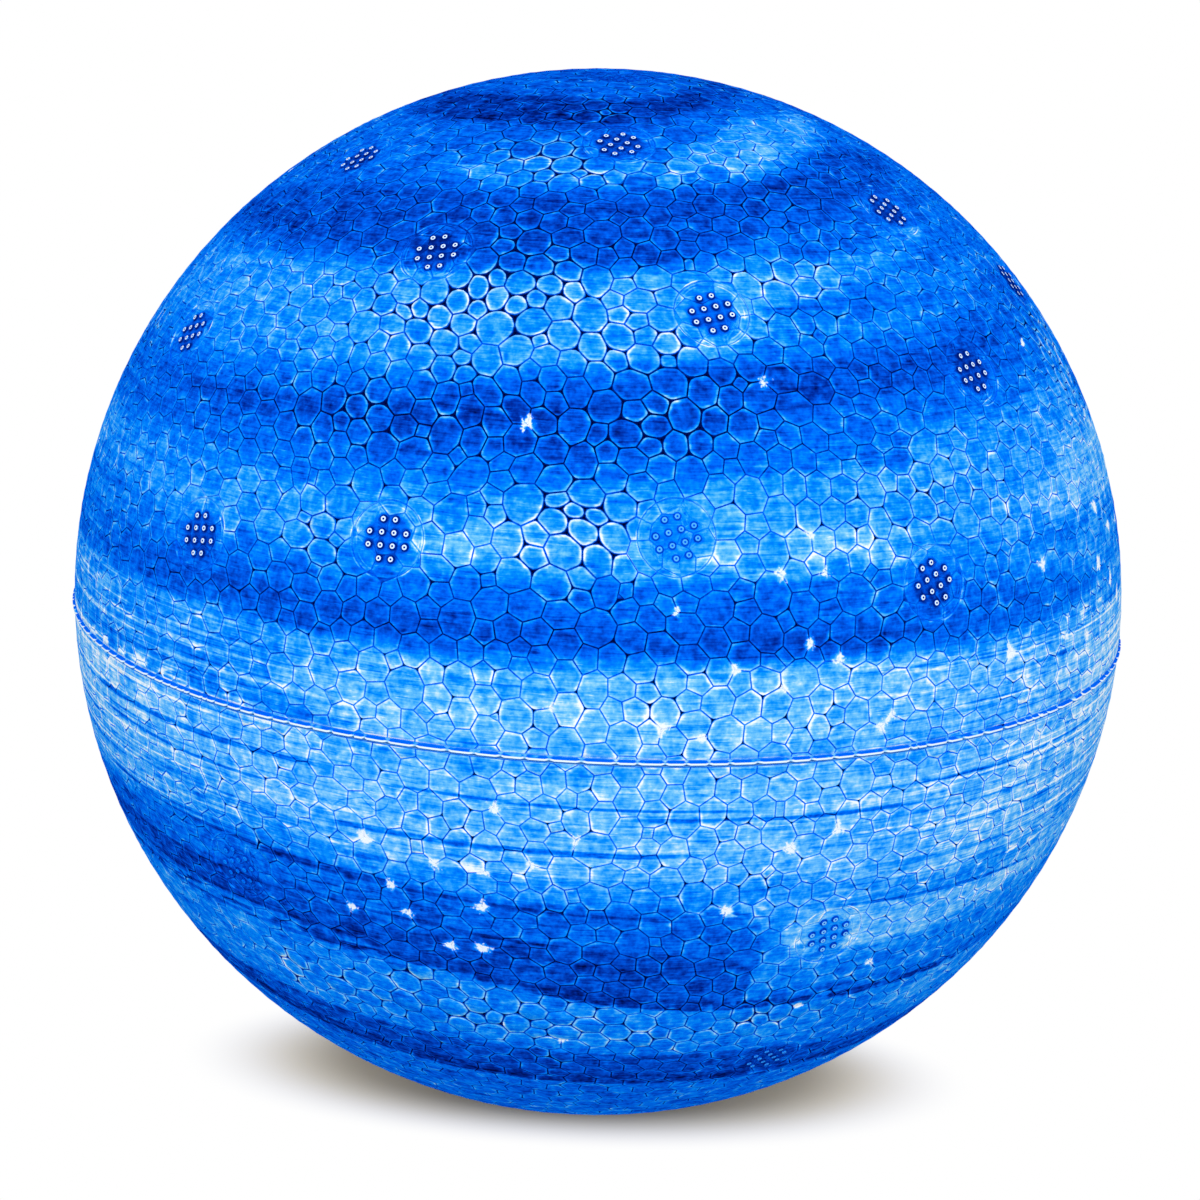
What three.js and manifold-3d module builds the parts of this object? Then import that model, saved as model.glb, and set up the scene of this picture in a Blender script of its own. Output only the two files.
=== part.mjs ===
// A foam ball as two hollow half shells of moulded bead foam. The halves part at the ball's widest circle and
// plug together: a spigot on the lower rim sits in a rebate inside the upper rim, so the upper half lifts
// straight off. The origin is the ball's centre, and +Z points to the top of the upper half.

import * as THREE from "three";
import { mergeVertices } from "three/addons/utils/BufferGeometryUtils.js";
import Module from "manifold-3d";

const wasm = await Module();
wasm.setup();

// Driving sizes, in millimetres.
const ballDiameter = 150;
const shellWall = 14;

// The rim joint. One clearance serves between the rims, round the spigot and over it.
const fitGap = 0.3;
const spigotWidth = 6.5;
const spigotHeight = 5;
const spigotDraft = 0.4;
const spigotRound = 1.2;

// The lip of foam that the parting line of the mould leaves along the upper rim.
const lipReach = 0.25;
const lipHeight = 0.5;

// The print of a steam vent: a flat round face, a little below the ball's skin.
const ventDiameter = 9;
const ventDepth = 0.4;

// How far a cutter runs on past the skin, and the distance within which corners are welded into one.
const overrun = 1;
const weldDistance = 1e-4;

// Facets: round the ball, along a quarter of its skin and of its hollow, on an edge, and round a vent's print.
const turnSteps = 72;
const skinSteps = 16;
const hollowSteps = 8;
const edgeSteps = 3;
const ventSides = 20;

// Worked out from the sizes above.
const ballRadius = ballDiameter / 2;
const hollowRadius = ballRadius - shellWall;
const rimZ = fitGap / 2;
const spigotFootRadius = hollowRadius + spigotWidth;
const spigotTopRadius = spigotFootRadius - spigotDraft;
const rebateCeiling = spigotHeight + fitGap;

// Where the vents sit in each half of the mould, as latitude from the parting plane and longitude from the
// front, in degrees. They are drilled by hand in rough rings: low, middle, high and one near the top.
const upperVents = [
  [15, -42], [18, -20], [20, 7], [15, 33], [17, 82], [15, 106], [18, 130],
  [16, 154], [19, 178], [16, -158], [18, -134], [15, -110], [17, -86],
  [33, -58], [46, -24], [41, 12], [34, 46], [42, 74], [38, 108],
  [43, 142], [37, 176], [41, -150], [35, -118], [40, -88],
  [57, -55], [63, 0], [53, 50], [58, 103], [60, 155], [56, -154], [59, -104],
  [82, -2],
];
const lowerVents = [
  [-17, -37], [-19, 25], [-18, 86], [-17, 147], [-19, -151], [-18, -95],
  [-39, 25], [-41, 145], [-40, -95],
];

// Points of a round stretch of a section, from one angle to another, with both ends.
function arc(centreRadius, centreZ, radius, fromAngle, toAngle, steps) {
  const points = [];
  for (let step = 0; step <= steps; step += 1) {
    const angle = THREE.MathUtils.lerp(fromAngle, toAngle, step / steps);
    const outwards = centreRadius + radius * Math.cos(angle);
    points.push(new THREE.Vector2(outwards, centreZ + radius * Math.sin(angle)));
  }
  return points;
}

// The angle above the parting plane at which a circle round the centre reaches a height.
function angleAtHeight(radius, height) {
  return Math.asin(height / radius);
}

// One closed solid from a geometry: its corners are welded, and triangles that shrank to a line are dropped.
function toSolid(geometry) {
  geometry.deleteAttribute("normal");
  geometry.deleteAttribute("uv");
  const welded = mergeVertices(geometry, weldDistance);
  const corners = [];
  for (let first = 0; first < welded.index.count; first += 3) {
    const [a, b, c] = welded.index.array.slice(first, first + 3);
    if (a !== b && b !== c && c !== a) corners.push(a, b, c);
  }
  const mesh = new wasm.Mesh({
    numProp: 3,
    vertProperties: welded.attributes.position.array,
    triVerts: new Uint32Array(corners),
  });
  return new wasm.Manifold(mesh);
}

function toGeometry(solid) {
  const mesh = solid.getMesh();
  const geometry = new THREE.BufferGeometry();
  geometry.setAttribute("position", new THREE.BufferAttribute(mesh.vertProperties, mesh.numProp));
  geometry.setIndex(new THREE.BufferAttribute(mesh.triVerts, 1));
  geometry.computeVertexNormals();
  return geometry;
}

// A section turned round the Z axis.
function turned(section) {
  const geometry = new THREE.LatheGeometry(section, turnSteps);
  geometry.rotateX(Math.PI / 2);
  return toSolid(geometry);
}

// The lower half in section: skin, rim, spigot with two rounded edges, hollow.
function lowerSection() {
  const right = Math.PI / 2;
  const edgeZ = spigotHeight - spigotRound;
  return [
    ...arc(0, 0, ballRadius, -right, -angleAtHeight(ballRadius, rimZ), skinSteps),
    new THREE.Vector2(spigotFootRadius, -rimZ),
    ...arc(spigotTopRadius - spigotRound, edgeZ, spigotRound, 0, right, edgeSteps),
    ...arc(hollowRadius + spigotRound, edgeZ, spigotRound, right, Math.PI, edgeSteps),
    ...arc(0, 0, hollowRadius, 0, -right, hollowSteps),
  ];
}

// The upper half in section: hollow, rebate over the spigot, rim, lip, skin. The rebate's inner corner runs
// round the same centre as the spigot's edge, so the gap between them is even.
function upperSection() {
  const right = Math.PI / 2;
  const edgeZ = spigotHeight - spigotRound;
  const lipTop = rimZ + lipHeight;
  return [
    ...arc(0, 0, hollowRadius, right, angleAtHeight(hollowRadius, rebateCeiling), hollowSteps),
    ...arc(spigotTopRadius - spigotRound, edgeZ, spigotRound + fitGap, right, 0, edgeSteps),
    new THREE.Vector2(spigotFootRadius + fitGap, rimZ),
    new THREE.Vector2(ballRadius + lipReach, rimZ),
    new THREE.Vector2(ballRadius + lipReach, rimZ + lipHeight / 2),
    ...arc(0, 0, ballRadius, angleAtHeight(ballRadius, lipTop), right, skinSteps),
  ];
}

// The direction from the ball's centre to a place on its skin. The front faces -Y.
function directionTo(latitude, longitude) {
  const height = THREE.MathUtils.degToRad(latitude);
  const round = THREE.MathUtils.degToRad(longitude);
  const level = Math.cos(height);
  return new THREE.Vector3(level * Math.sin(round), -level * Math.cos(round), Math.sin(height));
}

// What a vent takes off the skin: a round block that stands on the plane of the vent's flat face.
function ventCutter([latitude, longitude]) {
  const blockHeight = ventDepth + overrun;
  const block = new THREE.CylinderGeometry(ventDiameter / 2, ventDiameter / 2, blockHeight, ventSides);
  const outwards = directionTo(latitude, longitude);
  const turn = new THREE.Quaternion().setFromUnitVectors(new THREE.Vector3(0, 1, 0), outwards);
  block.applyQuaternion(turn);
  const middle = outwards.multiplyScalar(ballRadius - ventDepth + blockHeight / 2);
  block.translate(middle.x, middle.y, middle.z);
  return toSolid(block);
}

function halfShell(name, section, vents, material) {
  let shell = turned(section);
  for (const vent of vents) {
    shell = shell.subtract(ventCutter(vent));
  }
  const mesh = new THREE.Mesh(toGeometry(shell), material);
  mesh.name = name;
  return mesh;
}

const upperPaint = new THREE.MeshStandardMaterial({ color: 0x0a78f0, roughness: 0.55, metalness: 0 });
const lowerPaint = new THREE.MeshStandardMaterial({ color: 0x4aa8f4, roughness: 0.55, metalness: 0 });

const foamBall = new THREE.Group();
foamBall.add(halfShell("lower_half", lowerSection(), lowerVents, lowerPaint));
foamBall.add(halfShell("upper_half", upperSection(), upperVents, upperPaint));

export default foamBall;
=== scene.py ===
# %% [markdown]
# # A hollow ball of moulded bead foam, brushed with blues
# The ball is 150 mm across and is moulded in two halves from plastic foam beads about 3 mm wide. Steam swells the
# beads in the mould until they press flat against each other, so the skin is a net of polygons with fine grooves
# between them. The frame below is the measured model: it fixes the place and size of both halves, and everything
# made here is drawn on it, in metres.

# %% Load the frame
import math

import bmesh
import bpy
import numpy as np
from mathutils import Matrix, Vector


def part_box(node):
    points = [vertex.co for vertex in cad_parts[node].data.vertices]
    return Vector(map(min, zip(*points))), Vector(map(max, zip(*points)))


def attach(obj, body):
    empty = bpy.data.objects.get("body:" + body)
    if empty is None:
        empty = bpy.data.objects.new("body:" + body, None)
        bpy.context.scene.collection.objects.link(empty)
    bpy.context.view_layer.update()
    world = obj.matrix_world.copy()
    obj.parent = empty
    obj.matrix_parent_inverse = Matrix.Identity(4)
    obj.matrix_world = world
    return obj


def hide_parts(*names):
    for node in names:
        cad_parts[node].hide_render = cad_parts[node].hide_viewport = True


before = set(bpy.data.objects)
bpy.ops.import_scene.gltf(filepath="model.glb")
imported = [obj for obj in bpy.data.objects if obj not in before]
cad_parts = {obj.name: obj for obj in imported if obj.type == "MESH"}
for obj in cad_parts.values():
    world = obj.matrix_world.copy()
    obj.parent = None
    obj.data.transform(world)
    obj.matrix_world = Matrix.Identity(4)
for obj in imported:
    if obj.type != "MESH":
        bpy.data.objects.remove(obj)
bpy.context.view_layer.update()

mm = 0.001
ball_radius = -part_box("lower_half")[0].z
spigot_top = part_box("lower_half")[1].z
rim_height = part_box("upper_half")[0].z
lip_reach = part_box("upper_half")[1].x - ball_radius
print("ball radius", round(ball_radius / mm, 3), "mm, lip reach", round(lip_reach / mm, 3), "mm")

# %% [markdown]
# ## The camera
# The photograph looks slightly down on the ball from close by: the parting line bows downwards by as much as it
# does only at about two ball widths. The three directions below are the camera's own right, up and backward axes,
# worked out from that bow and from the line's tilt. The shift puts the ball's centre where the picture has it,
# because the camera itself looks straight at the centre.

# %% Camera
picture_width = 1200
focal_pixels = 2112
centre_pixel = (598.05, 591.62)
camera_distance = 311.6 * mm
camera_right = Vector((0.99892, 0.01213, 0.04489))
camera_up = Vector((-0.04650, 0.26054, 0.96434))
camera_back = camera_right.cross(camera_up).normalized()

camera_data = bpy.data.cameras.new("camera")
camera_data.sensor_width = 36
camera_data.lens = camera_data.sensor_width * focal_pixels / picture_width
camera_data.shift_x = (picture_width / 2 - centre_pixel[0]) / picture_width
camera_data.shift_y = (centre_pixel[1] - picture_width / 2) / picture_width
camera = bpy.data.objects.new("camera", camera_data)
turn = Matrix((camera_right, camera_back.cross(camera_right), camera_back)).transposed()
camera.matrix_world = Matrix.Translation(camera_back * camera_distance) @ turn.to_4x4()
bpy.context.scene.collection.objects.link(camera)
bpy.context.scene.camera = camera
print("camera at", [round(value / mm, 1) for value in camera.location], "mm")

# %% [markdown]
# ## Helpers for working in edit mode
# Most steps below are done as by hand: open a mesh in edit mode, select some of it by place or by mark, and use an
# operator on the selection. These few helpers open and close a mesh, make a selection, add a first shape, copy an
# object and write marks. A mark is a named value on every corner, which later steps and the paint can read.

# %% Edit mode helpers
def only(*objects):
    """Makes these the selected objects, the first of them active."""
    if bpy.context.object and bpy.context.object.mode != "OBJECT":
        bpy.ops.object.mode_set(mode="OBJECT")
    bpy.ops.object.select_all(action="DESELECT")
    for thing in objects:
        thing.select_set(True)
    bpy.context.view_layer.objects.active = objects[0]


def open_mesh(thing, action="DESELECT"):
    """Opens an object's mesh in edit mode with nothing selected, or all of it if the action is SELECT."""
    only(thing)
    bpy.ops.object.mode_set(mode="EDIT")
    bpy.ops.mesh.select_mode(type="VERT")
    bpy.ops.mesh.select_all(action=action)
    return bmesh.from_edit_mesh(thing.data)


def close_mesh():
    bpy.ops.object.mode_set(mode="OBJECT")


def select_faces(thing, wanted):
    """Selects the faces for which wanted(face) is true, and returns how many there are."""
    work = bmesh.from_edit_mesh(thing.data)
    bpy.ops.mesh.select_mode(type="FACE")
    for face in work.faces:
        face.select_set(bool(wanted(face)))
    bmesh.update_edit_mesh(thing.data)
    return sum(face.select for face in work.faces)


def apply_modifier(thing, kind, **settings):
    """Adds a modifier, gives it its settings and applies it."""
    only(thing)
    modifier = thing.modifiers.new(kind.lower(), kind)
    for name, value in settings.items():
        setattr(modifier, name, value)
    bpy.ops.object.modifier_apply(modifier=modifier.name)


def add_shape(add, **settings):
    """Adds a primitive, with its place and turn applied."""
    bpy.ops.object.select_all(action="DESELECT")
    add(**settings)
    bpy.ops.object.transform_apply(location=True, rotation=True, scale=True)
    return bpy.context.object


def copy_of(thing, name):
    """A copy of an object with a mesh of its own."""
    copy = thing.copy()
    copy.data = thing.data.copy()
    copy.name = copy.data.name = name
    bpy.context.scene.collection.objects.link(copy)
    return copy


def add_mark(mesh, name, values):
    """Writes a value or a vector for every corner under a name."""
    values = np.asarray(values, float)
    vector = values.ndim == 2
    layer = mesh.attributes.new(name, "FLOAT_VECTOR" if vector else "FLOAT", "POINT")
    layer.data.foreach_set("vector" if vector else "value", values.ravel())


# %% [markdown]
# ## The net of bead walls
# Beads that swell side by side until they touch meet halfway between their centres. So the walls follow from the
# centres alone. The centres are scattered over the sphere by a spiral, pushed about at random, wrapped in a skin of
# triangles with the convex hull operator, evened out with the smooth operator and wrapped again. Turning that skin
# inside out, a corner for every triangle and a face for every centre, gives the walls. Blender has this as the Dual
# Mesh node. No primitive has such a layout, which is why this mesh starts from points.

# %% Bead net
bead_width = 3.25 * mm
bead_scatter_share = 0.21
small_bead_share = 0.02
small_bead_push = 0.6


def to_sphere(points, radius):
    return points * (radius / np.linalg.norm(points, axis=1, keepdims=True))


def read_corners(mesh):
    corners = np.empty(len(mesh.vertices) * 3)
    mesh.vertices.foreach_get("co", corners)
    return corners.reshape(-1, 3)


def scatter_centres(radius, seed):
    """Bead centres over a whole sphere: an even spiral, each point pushed off its place by a chance amount."""
    chance = np.random.default_rng(seed)
    bead_area = bead_width**2 * math.sqrt(3) / 2
    count = round(4 * math.pi * radius**2 / bead_area)
    step = np.arange(count) + 0.5
    height = 1 - 2 * step / count
    around = step * math.pi * (3 - math.sqrt(5))
    ring = np.sqrt(1 - height**2)
    points = np.stack([ring * np.cos(around), ring * np.sin(around), height], -1) * radius
    return to_sphere(points + chance.normal(0, bead_width * bead_scatter_share, points.shape), radius)


def wrap(thing, points):
    """Gives an object the convex skin of a cloud of points."""
    thing.data.clear_geometry()
    thing.data.from_pydata(points.tolist(), [], [])
    open_mesh(thing, "SELECT")
    bpy.ops.mesh.convex_hull(join_triangles=False)
    close_mesh()


def bead_net(name, radius, seed):
    """The bead walls of a whole sphere, as one polygon for each bead."""
    net = bpy.data.objects.new(name, bpy.data.meshes.new(name))
    bpy.context.scene.collection.objects.link(net)
    wrap(net, scatter_centres(radius, seed))
    open_mesh(net, "SELECT")
    bpy.ops.mesh.vertices_smooth(factor=0.5, repeat=2)
    close_mesh()
    centres = to_sphere(read_corners(net.data), radius)
    chance = np.random.default_rng(seed + 1)
    pushed = centres[chance.random(len(centres)) < small_bead_share]
    pushed = to_sphere(pushed + chance.normal(0, bead_width * small_bead_push, pushed.shape), radius)
    wrap(net, np.concatenate([centres, pushed]))
    group = bpy.data.node_groups.new("walls_from_centres", "GeometryNodeTree")
    for way in ("INPUT", "OUTPUT"):
        group.interface.new_socket("Geometry", in_out=way, socket_type="NodeSocketGeometry")
    kinds = ("NodeGroupInput", "GeometryNodeDualMesh", "NodeGroupOutput")
    start, dual, end = (group.nodes.new(kind) for kind in kinds)
    group.links.new(start.outputs[0], dual.inputs[0])
    group.links.new(dual.outputs[0], end.inputs[0])
    apply_modifier(net, "NODES", node_group=group)
    net.data.vertices.foreach_set("co", to_sphere(read_corners(net.data), radius).ravel())
    return net


groove_depth = 0.13 * mm
bead_crown = 0.07 * mm
net_radius = ball_radius - groove_depth - bead_crown
skin_net = bead_net("skin_net", net_radius, seed=11)
print(len(skin_net.data.polygons), "beads in the skin")

# %% [markdown]
# ## Where the walls meet the parting line
# The two halves meet at the middle of the ball. Later each half's net is cut there by a plane. A wall corner that
# lies a hair off the plane would leave a sliver of a bead, too thin to shape. So every corner close to the plane is
# first moved onto it, and those a little further away are moved clear of it.

# %% Snap corners to the parting plane
snap_reach = 0.65 * mm
clear_reach = 1.05 * mm

corners = read_corners(skin_net.data)
height = np.abs(corners[:, 2])
near_plane = height < snap_reach
corners[:, 2] = np.where(near_plane, 0, np.sign(corners[:, 2]) * np.maximum(height, clear_reach))
skin_net.data.vertices.foreach_set("co", to_sphere(corners, net_radius).ravel())
print(int(near_plane.sum()), "corners moved onto the plane")

# %% [markdown]
# ## Steam vents
# The mould lets steam in through round plugs about 9 mm wide, and each leaves a flat round print with twelve little
# nibs in the skin. The list repeats the places that the frame was built with: latitude, longitude from the front,
# and how far the grid of nibs is turned, all in degrees.

# %% Vent places
vent_radius = 4.5 * mm
vent_depth = 0.32 * mm
vents = [
    (15, -42, 9), (18, -20, 2), (20, 7, 17), (15, 33, 22), (17, 82, 40), (15, 106, 5), (18, 130, 70),
    (16, 154, 31), (19, 178, 12), (16, -158, 55), (18, -134, 80), (15, -110, 25), (17, -86, 62),
    (33, -58, 20), (46, -24, 14), (41, 12, 14), (34, 46, 8), (42, 74, 35), (38, 108, 50),
    (43, 142, 18), (37, 176, 75), (41, -150, 42), (35, -118, 10), (40, -88, 66),
    (57, -55, 30), (63, 0, -29), (53, 50, 25), (58, 103, 48), (60, 155, 15), (56, -154, 33), (59, -104, 70),
    (82, -2, 20),
    (-17, -37, 24), (-19, 25, 12), (-18, 86, 45), (-17, 147, 66), (-19, -151, 8), (-18, -95, 30),
    (-39, 25, 40), (-41, 145, 5), (-40, -95, 52),
]


def direction_to(latitude, longitude):
    """The direction from the ball's centre to a place on its skin. The front faces -Y."""
    height, around = math.radians(latitude), math.radians(longitude)
    level = math.cos(height)
    return Vector((level * math.sin(around), -level * math.cos(around), math.sin(height)))


def vent_axes(latitude, longitude, turn):
    """A vent's outward axis and the two directions of its grid of nibs."""
    outwards = direction_to(latitude, longitude)
    east = Vector((0, 0, 1)).cross(outwards).normalized()
    north = outwards.cross(east)
    angle = math.radians(turn)
    along = east * math.cos(angle) + north * math.sin(angle)
    return outwards, along, outwards.cross(along)


print(len(vents), "vents")

# %% [markdown]
# ## The vents' circles
# A print's edge cuts straight through the beads that lie under it. The knife tool needs a window, so the cut is made
# with two mesh calls: a wall that crosses the circle gets a corner there, and a bead with two such corners is split
# along the arc between them. Corners close to the circle are moved onto it first, so that few slivers are left.

# %% Cut the vents' circles into the net
circle_snap = 0.45 * mm
on_circle = 1e-7
shortest_wall = 0.42 * mm
arc_step = math.radians(13)


def off_axis(point, outwards):
    return (point - outwards * point.dot(outwards)).length


def onto_circle(point, outwards):
    """The point of a vent's circle that lies nearest to a point of the net."""
    level = point - outwards * point.dot(outwards)
    return level.normalized() * vent_radius + outwards * math.sqrt(net_radius**2 - vent_radius**2)


def cut_circle(work, outwards, along, across):
    """Splits every bead that a vent's circle crosses, along the circle."""
    reach = vent_radius + 3 * bead_width
    faces = [face for face in work.faces if (face.calc_center_median() - outwards * net_radius).length < reach]
    for vert in {vert for face in faces for vert in face.verts}:
        if abs(off_axis(vert.co, outwards) - vent_radius) < circle_snap:
            vert.co = onto_circle(vert.co, outwards)
    for edge in {edge for face in faces for edge in face.edges}:
        first, last = (off_axis(vert.co, outwards) - vent_radius for vert in edge.verts)
        if min(abs(first), abs(last)) > on_circle and first * last < 0:
            made = bmesh.utils.edge_split(edge, edge.verts[0], first / (first - last))[1]
            made.co = onto_circle(made.co, outwards)
    found = {vert for face in faces for vert in face.verts}
    found = {vert for vert in found if abs(off_axis(vert.co, outwards) - vent_radius) < on_circle}
    angle_of = {vert: math.atan2(vert.co.dot(across), vert.co.dot(along)) for vert in found}
    height = outwards * math.sqrt(net_radius**2 - vent_radius**2)

    def at(angle):
        return height + (along * math.cos(angle) + across * math.sin(angle)) * vent_radius

    joined = set()
    while faces:
        face = faces.pop()
        met = sorted((vert for vert in face.verts if vert in angle_of), key=angle_of.get)
        for first, last in zip(met, met[1:] + met[:1]):
            start, sweep = angle_of[first], (angle_of[last] - angle_of[first]) % (2 * math.pi)
            if first is last or sweep > math.pi or (first, last) in joined or work.edges.get((first, last)):
                continue
            if bmesh.geometry.intersect_face_point(face, at(start + sweep / 2)):
                joined.add((first, last))
                count = max(1, round(sweep / arc_step))
                points = [at(start + sweep * step / count) for step in range(1, count)]
                faces += [face, bmesh.utils.face_split(face, first, last, coords=points)[0]]
                break


def merge_near(thing, distance):
    open_mesh(thing, "SELECT")
    bpy.ops.mesh.remove_doubles(threshold=distance)
    close_mesh()


work = open_mesh(skin_net)
for place in vents:
    cut_circle(work, *vent_axes(*place))
bmesh.update_edit_mesh(skin_net.data)
close_mesh()
merge_near(skin_net, shortest_wall)
print(len(skin_net.data.polygons), "beads and parts of beads")

# %% [markdown]
# ## Loose and tight patches
# Where the mould was filled tightly, the beads are sharp polygons with hair-fine grooves. Where it was filled
# loosely, they stay round at the corners, and between three or four of them a small dark hole is left. The patches
# below say where the foam is loose: latitude, longitude, how far the patch reaches up and sideways in degrees, and
# how loose it is. A function turns the list into one value, from 0 to 1, for any point of the skin.

# %% Loose patches
loose_patches = [
    (41, -14, 8, 17, 1.0), (38, 6, 7, 12, 0.7), (60, -8, 6, 24, 0.7), (44, 24, 5, 10, 0.45), (29, -24, 4, 15, 0.6),
    (30, 6, 4, 12, 0.6), (20, -3, 5, 7, 0.9), (19, -22, 4, 12, 0.5), (69, -6, 4, 12, 0.7), (55, 28, 3, 10, 0.5),
    (22, 34, 5, 14, 0.35), (-30, -10, 4, 26, 0.55), (-28, 22, 3, 14, 0.6), (-8, -12, 3, 8, 0.3), (5, 12, 4, 14, 0.3),
    (35, 75, 9, 14, 0.8), (12, 92, 5, 16, 0.5), (-20, 80, 6, 20, 0.5), (48, 118, 8, 22, 0.8), (20, 140, 6, 18, 0.7),
    (-12, 135, 4, 20, 0.4), (-38, 120, 7, 24, 0.7), (34, 176, 8, 18, 0.9), (64, 165, 6, 30, 0.6),
    (6, -170, 4, 18, 0.4), (-26, -165, 6, 22, 0.7), (46, -140, 7, 16, 0.8), (16, -118, 6, 18, 0.6),
    (-8, -110, 4, 20, 0.35), (30, -82, 7, 14, 0.7), (58, -92, 6, 24, 0.7), (-36, -80, 7, 22, 0.6),
    (-62, 20, 8, 50, 0.6), (-66, -150, 9, 60, 0.7), (80, 60, 6, 90, 0.5), (-27.5, -34, 1.6, 2, 1.0),
    (-30.8, -34.8, 1.4, 1.8, 1.0), (-37.3, -2.9, 1.4, 1.8, 1.0), (-32, 7, 1.5, 2.4, 1.0), (-30.6, 18.6, 1.5, 2, 1.0),
    (-13.2, -33.4, 1.4, 1.8, 0.9), (-25, -17.5, 1.5, 2, 1.0), (-28.6, -27, 1.4, 1.8, 0.9), (-22.8, -50, 1.4, 2, 0.9),
    (29, -23, 1.5, 2, 1.0), (31.5, 6.5, 1.5, 2, 1.0),
]
loose_everywhere = 0.08


def places_of(points):
    """Latitude and longitude in degrees of points given as rows."""
    level = np.hypot(points[:, 0], points[:, 1])
    return np.degrees(np.arctan2(points[:, 2], level)), np.degrees(np.arctan2(points[:, 0], -points[:, 1]))


def looseness(points):
    latitude, longitude = places_of(points)
    found = np.full(len(points), loose_everywhere)
    for centre, middle, high, wide, amount in loose_patches:
        sideways = (longitude - middle + 180) % 360 - 180
        distance = ((latitude - centre) / high) ** 2 + (sideways / wide) ** 2
        found = np.maximum(found, amount * np.exp(-distance))
    return found


print("loose share of the skin", round(float((looseness(read_corners(skin_net.data)) > 0.4).mean()), 3))

# %% [markdown]
# ## Rounded beads and the holes between them
# Bevelling a corner of the net cuts the tips off the three beads that meet there, in a small curve, and leaves a
# three-pointed star between them: exactly the hole between round beads. The bevel modifier takes its size from a
# weight on each corner, so one pass makes large holes in the loose patches, small ones elsewhere, and none where the
# weight is zero. A hole takes less than half of the shortest wall beside it, so two never run into each other. The
# modifier fills each star with small faces round a middle corner. They get material number 1, which marks them as
# holes for the steps that follow. Corners in or near a vent and near the parting line stay sharp. A mark on each
# corner says how much lighter the bead edges there are painted, most beside the holes: partly light paint where the
# brush bends over the edges, partly a painted highlight on their rounded shoulders.

# %% Round the beads
bead_kind, hole_kind, loose_kind, sliver_kind, flat_kind = 0, 1, 2, 3, 4
hole_size = 1.0 * mm
smallest_hole = 0.24 * mm
hole_share_of_wall = 0.46
hole_free_band = 1.2 * mm
hole_free_rim = 0.8 * mm
chance = np.random.default_rng(21)

for _ in (bead_kind, hole_kind, loose_kind, sliver_kind, flat_kind):
    skin_net.data.materials.append(None)
corners = read_corners(skin_net.data)
loose = looseness(corners)
weights = chance.uniform(0.35, 1.0, len(corners)) * (0.35 + 0.65 * loose)
weights[chance.random(len(corners)) > 0.22 + 0.75 * loose] = 0
walls = np.empty(len(skin_net.data.edges) * 2, int)
skin_net.data.edges.foreach_get("vertices", walls)
walls = walls.reshape(-1, 2)
lengths = np.linalg.norm(corners[walls[:, 0]] - corners[walls[:, 1]], axis=1)
room = np.full(len(corners), hole_size)
for end in (0, 1):
    np.minimum.at(room, walls[:, end], lengths * hole_share_of_wall)
weights = np.minimum(weights, room / hole_size)
weights[weights < smallest_hole / hole_size] = 0
weights[np.abs(corners[:, 2]) < hole_free_band] = 0
for latitude, longitude, _ in vents:
    outwards = np.array(direction_to(latitude, longitude))
    weights[np.linalg.norm(corners - outwards * net_radius, axis=1) < vent_radius + hole_free_rim] = 0
# How much lighter each corner's bead edges are painted: partly light paint, partly a painted highlight on the
# shoulders.
pale_edge_and_highlight = np.where(weights > 0, chance.uniform(0.25, 1.0, len(corners)), chance.random(len(corners)) ** 2 * 0.8)
add_mark(skin_net.data, "bevel_weight_vert", weights)
add_mark(skin_net.data, "pale_edge_and_highlight", pale_edge_and_highlight * (0.35 + 0.65 * loose))
apply_modifier(
    skin_net, "BEVEL", affect="VERTICES", limit_method="WEIGHT", width=hole_size, segments=2,
    profile=0.5, use_clamp_overlap=False, material=hole_kind,
)
print(int((weights > 0).sum()), "holes between beads")

# %% [markdown]
# ## Kinds of beads
# Not every bead can be shaped alike. Beads in the loose patches have wider grooves round them, and slivers cut off by
# a vent or the parting line narrower ones. A face too thin for a groove of its own stays flat. A small function
# measures each face and stores its kind as its material number.

# %% Kinds of beads
groove_halves = {bead_kind: 0.092 * mm, loose_kind: 0.115 * mm, sliver_kind: 0.075 * mm}
loose_from = 0.4
sliver_area = 1.3 * mm**2
sliver_corner = math.radians(38)
thinnest_bead = 0.3 * mm


def sort_faces(thing):
    """Marks every bead as tight, loose, a sliver or too thin to raise, by its material number."""
    work = open_mesh(thing)
    beads = [face for face in work.faces if face.material_index != hole_kind]
    loose = looseness(np.array([face.calc_center_median() for face in beads]))
    for face, share in zip(beads, loose):
        sharpest = min(loop.calc_angle() for loop in face.loops)
        if 2 * face.calc_area() / face.calc_perimeter() < thinnest_bead:
            face.material_index = flat_kind
        elif face.calc_area() < sliver_area or sharpest < sliver_corner:
            face.material_index = sliver_kind
        else:
            face.material_index = loose_kind if share > loose_from else bead_kind
    bmesh.update_edit_mesh(thing.data)
    close_mesh()


print("half a groove", [round(width / mm, 3) for width in groove_halves.values()], "mm")

# %% [markdown]
# ## Raised beads and sunk holes
# Each face becomes a bead: inset leaves the groove round it and lifts its face, and poke raises its middle a little,
# which gives the bead its crown. Crescents left beside a vent's circle can't be poked, because their middle lies
# outside them, so they stay flat. The middles of the holes are pulled in. Both steps mark the new corners for the
# paint: how far a corner is from its bead's edge, in millimetres, below zero in a groove or a hole, and a chance tone
# for each bead.

# %% Raised beads and sunk holes
hole_depth = 0.5 * mm
groove_mark, hole_mark, pit_mark, crescent_mark, circle_mark = -0.12, -0.36, -0.9, 0.3, -0.03
crown_mark_share = 0.86


def round_its_middle(face):
    """True if the face's corners run round its middle, so that it can be poked."""
    middle = face.calc_center_median()
    rays = [vert.co - middle for vert in face.verts]
    return all(first.cross(last).dot(face.normal) > 0 for first, last in zip(rays, rays[1:] + rays[:1]))


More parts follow.
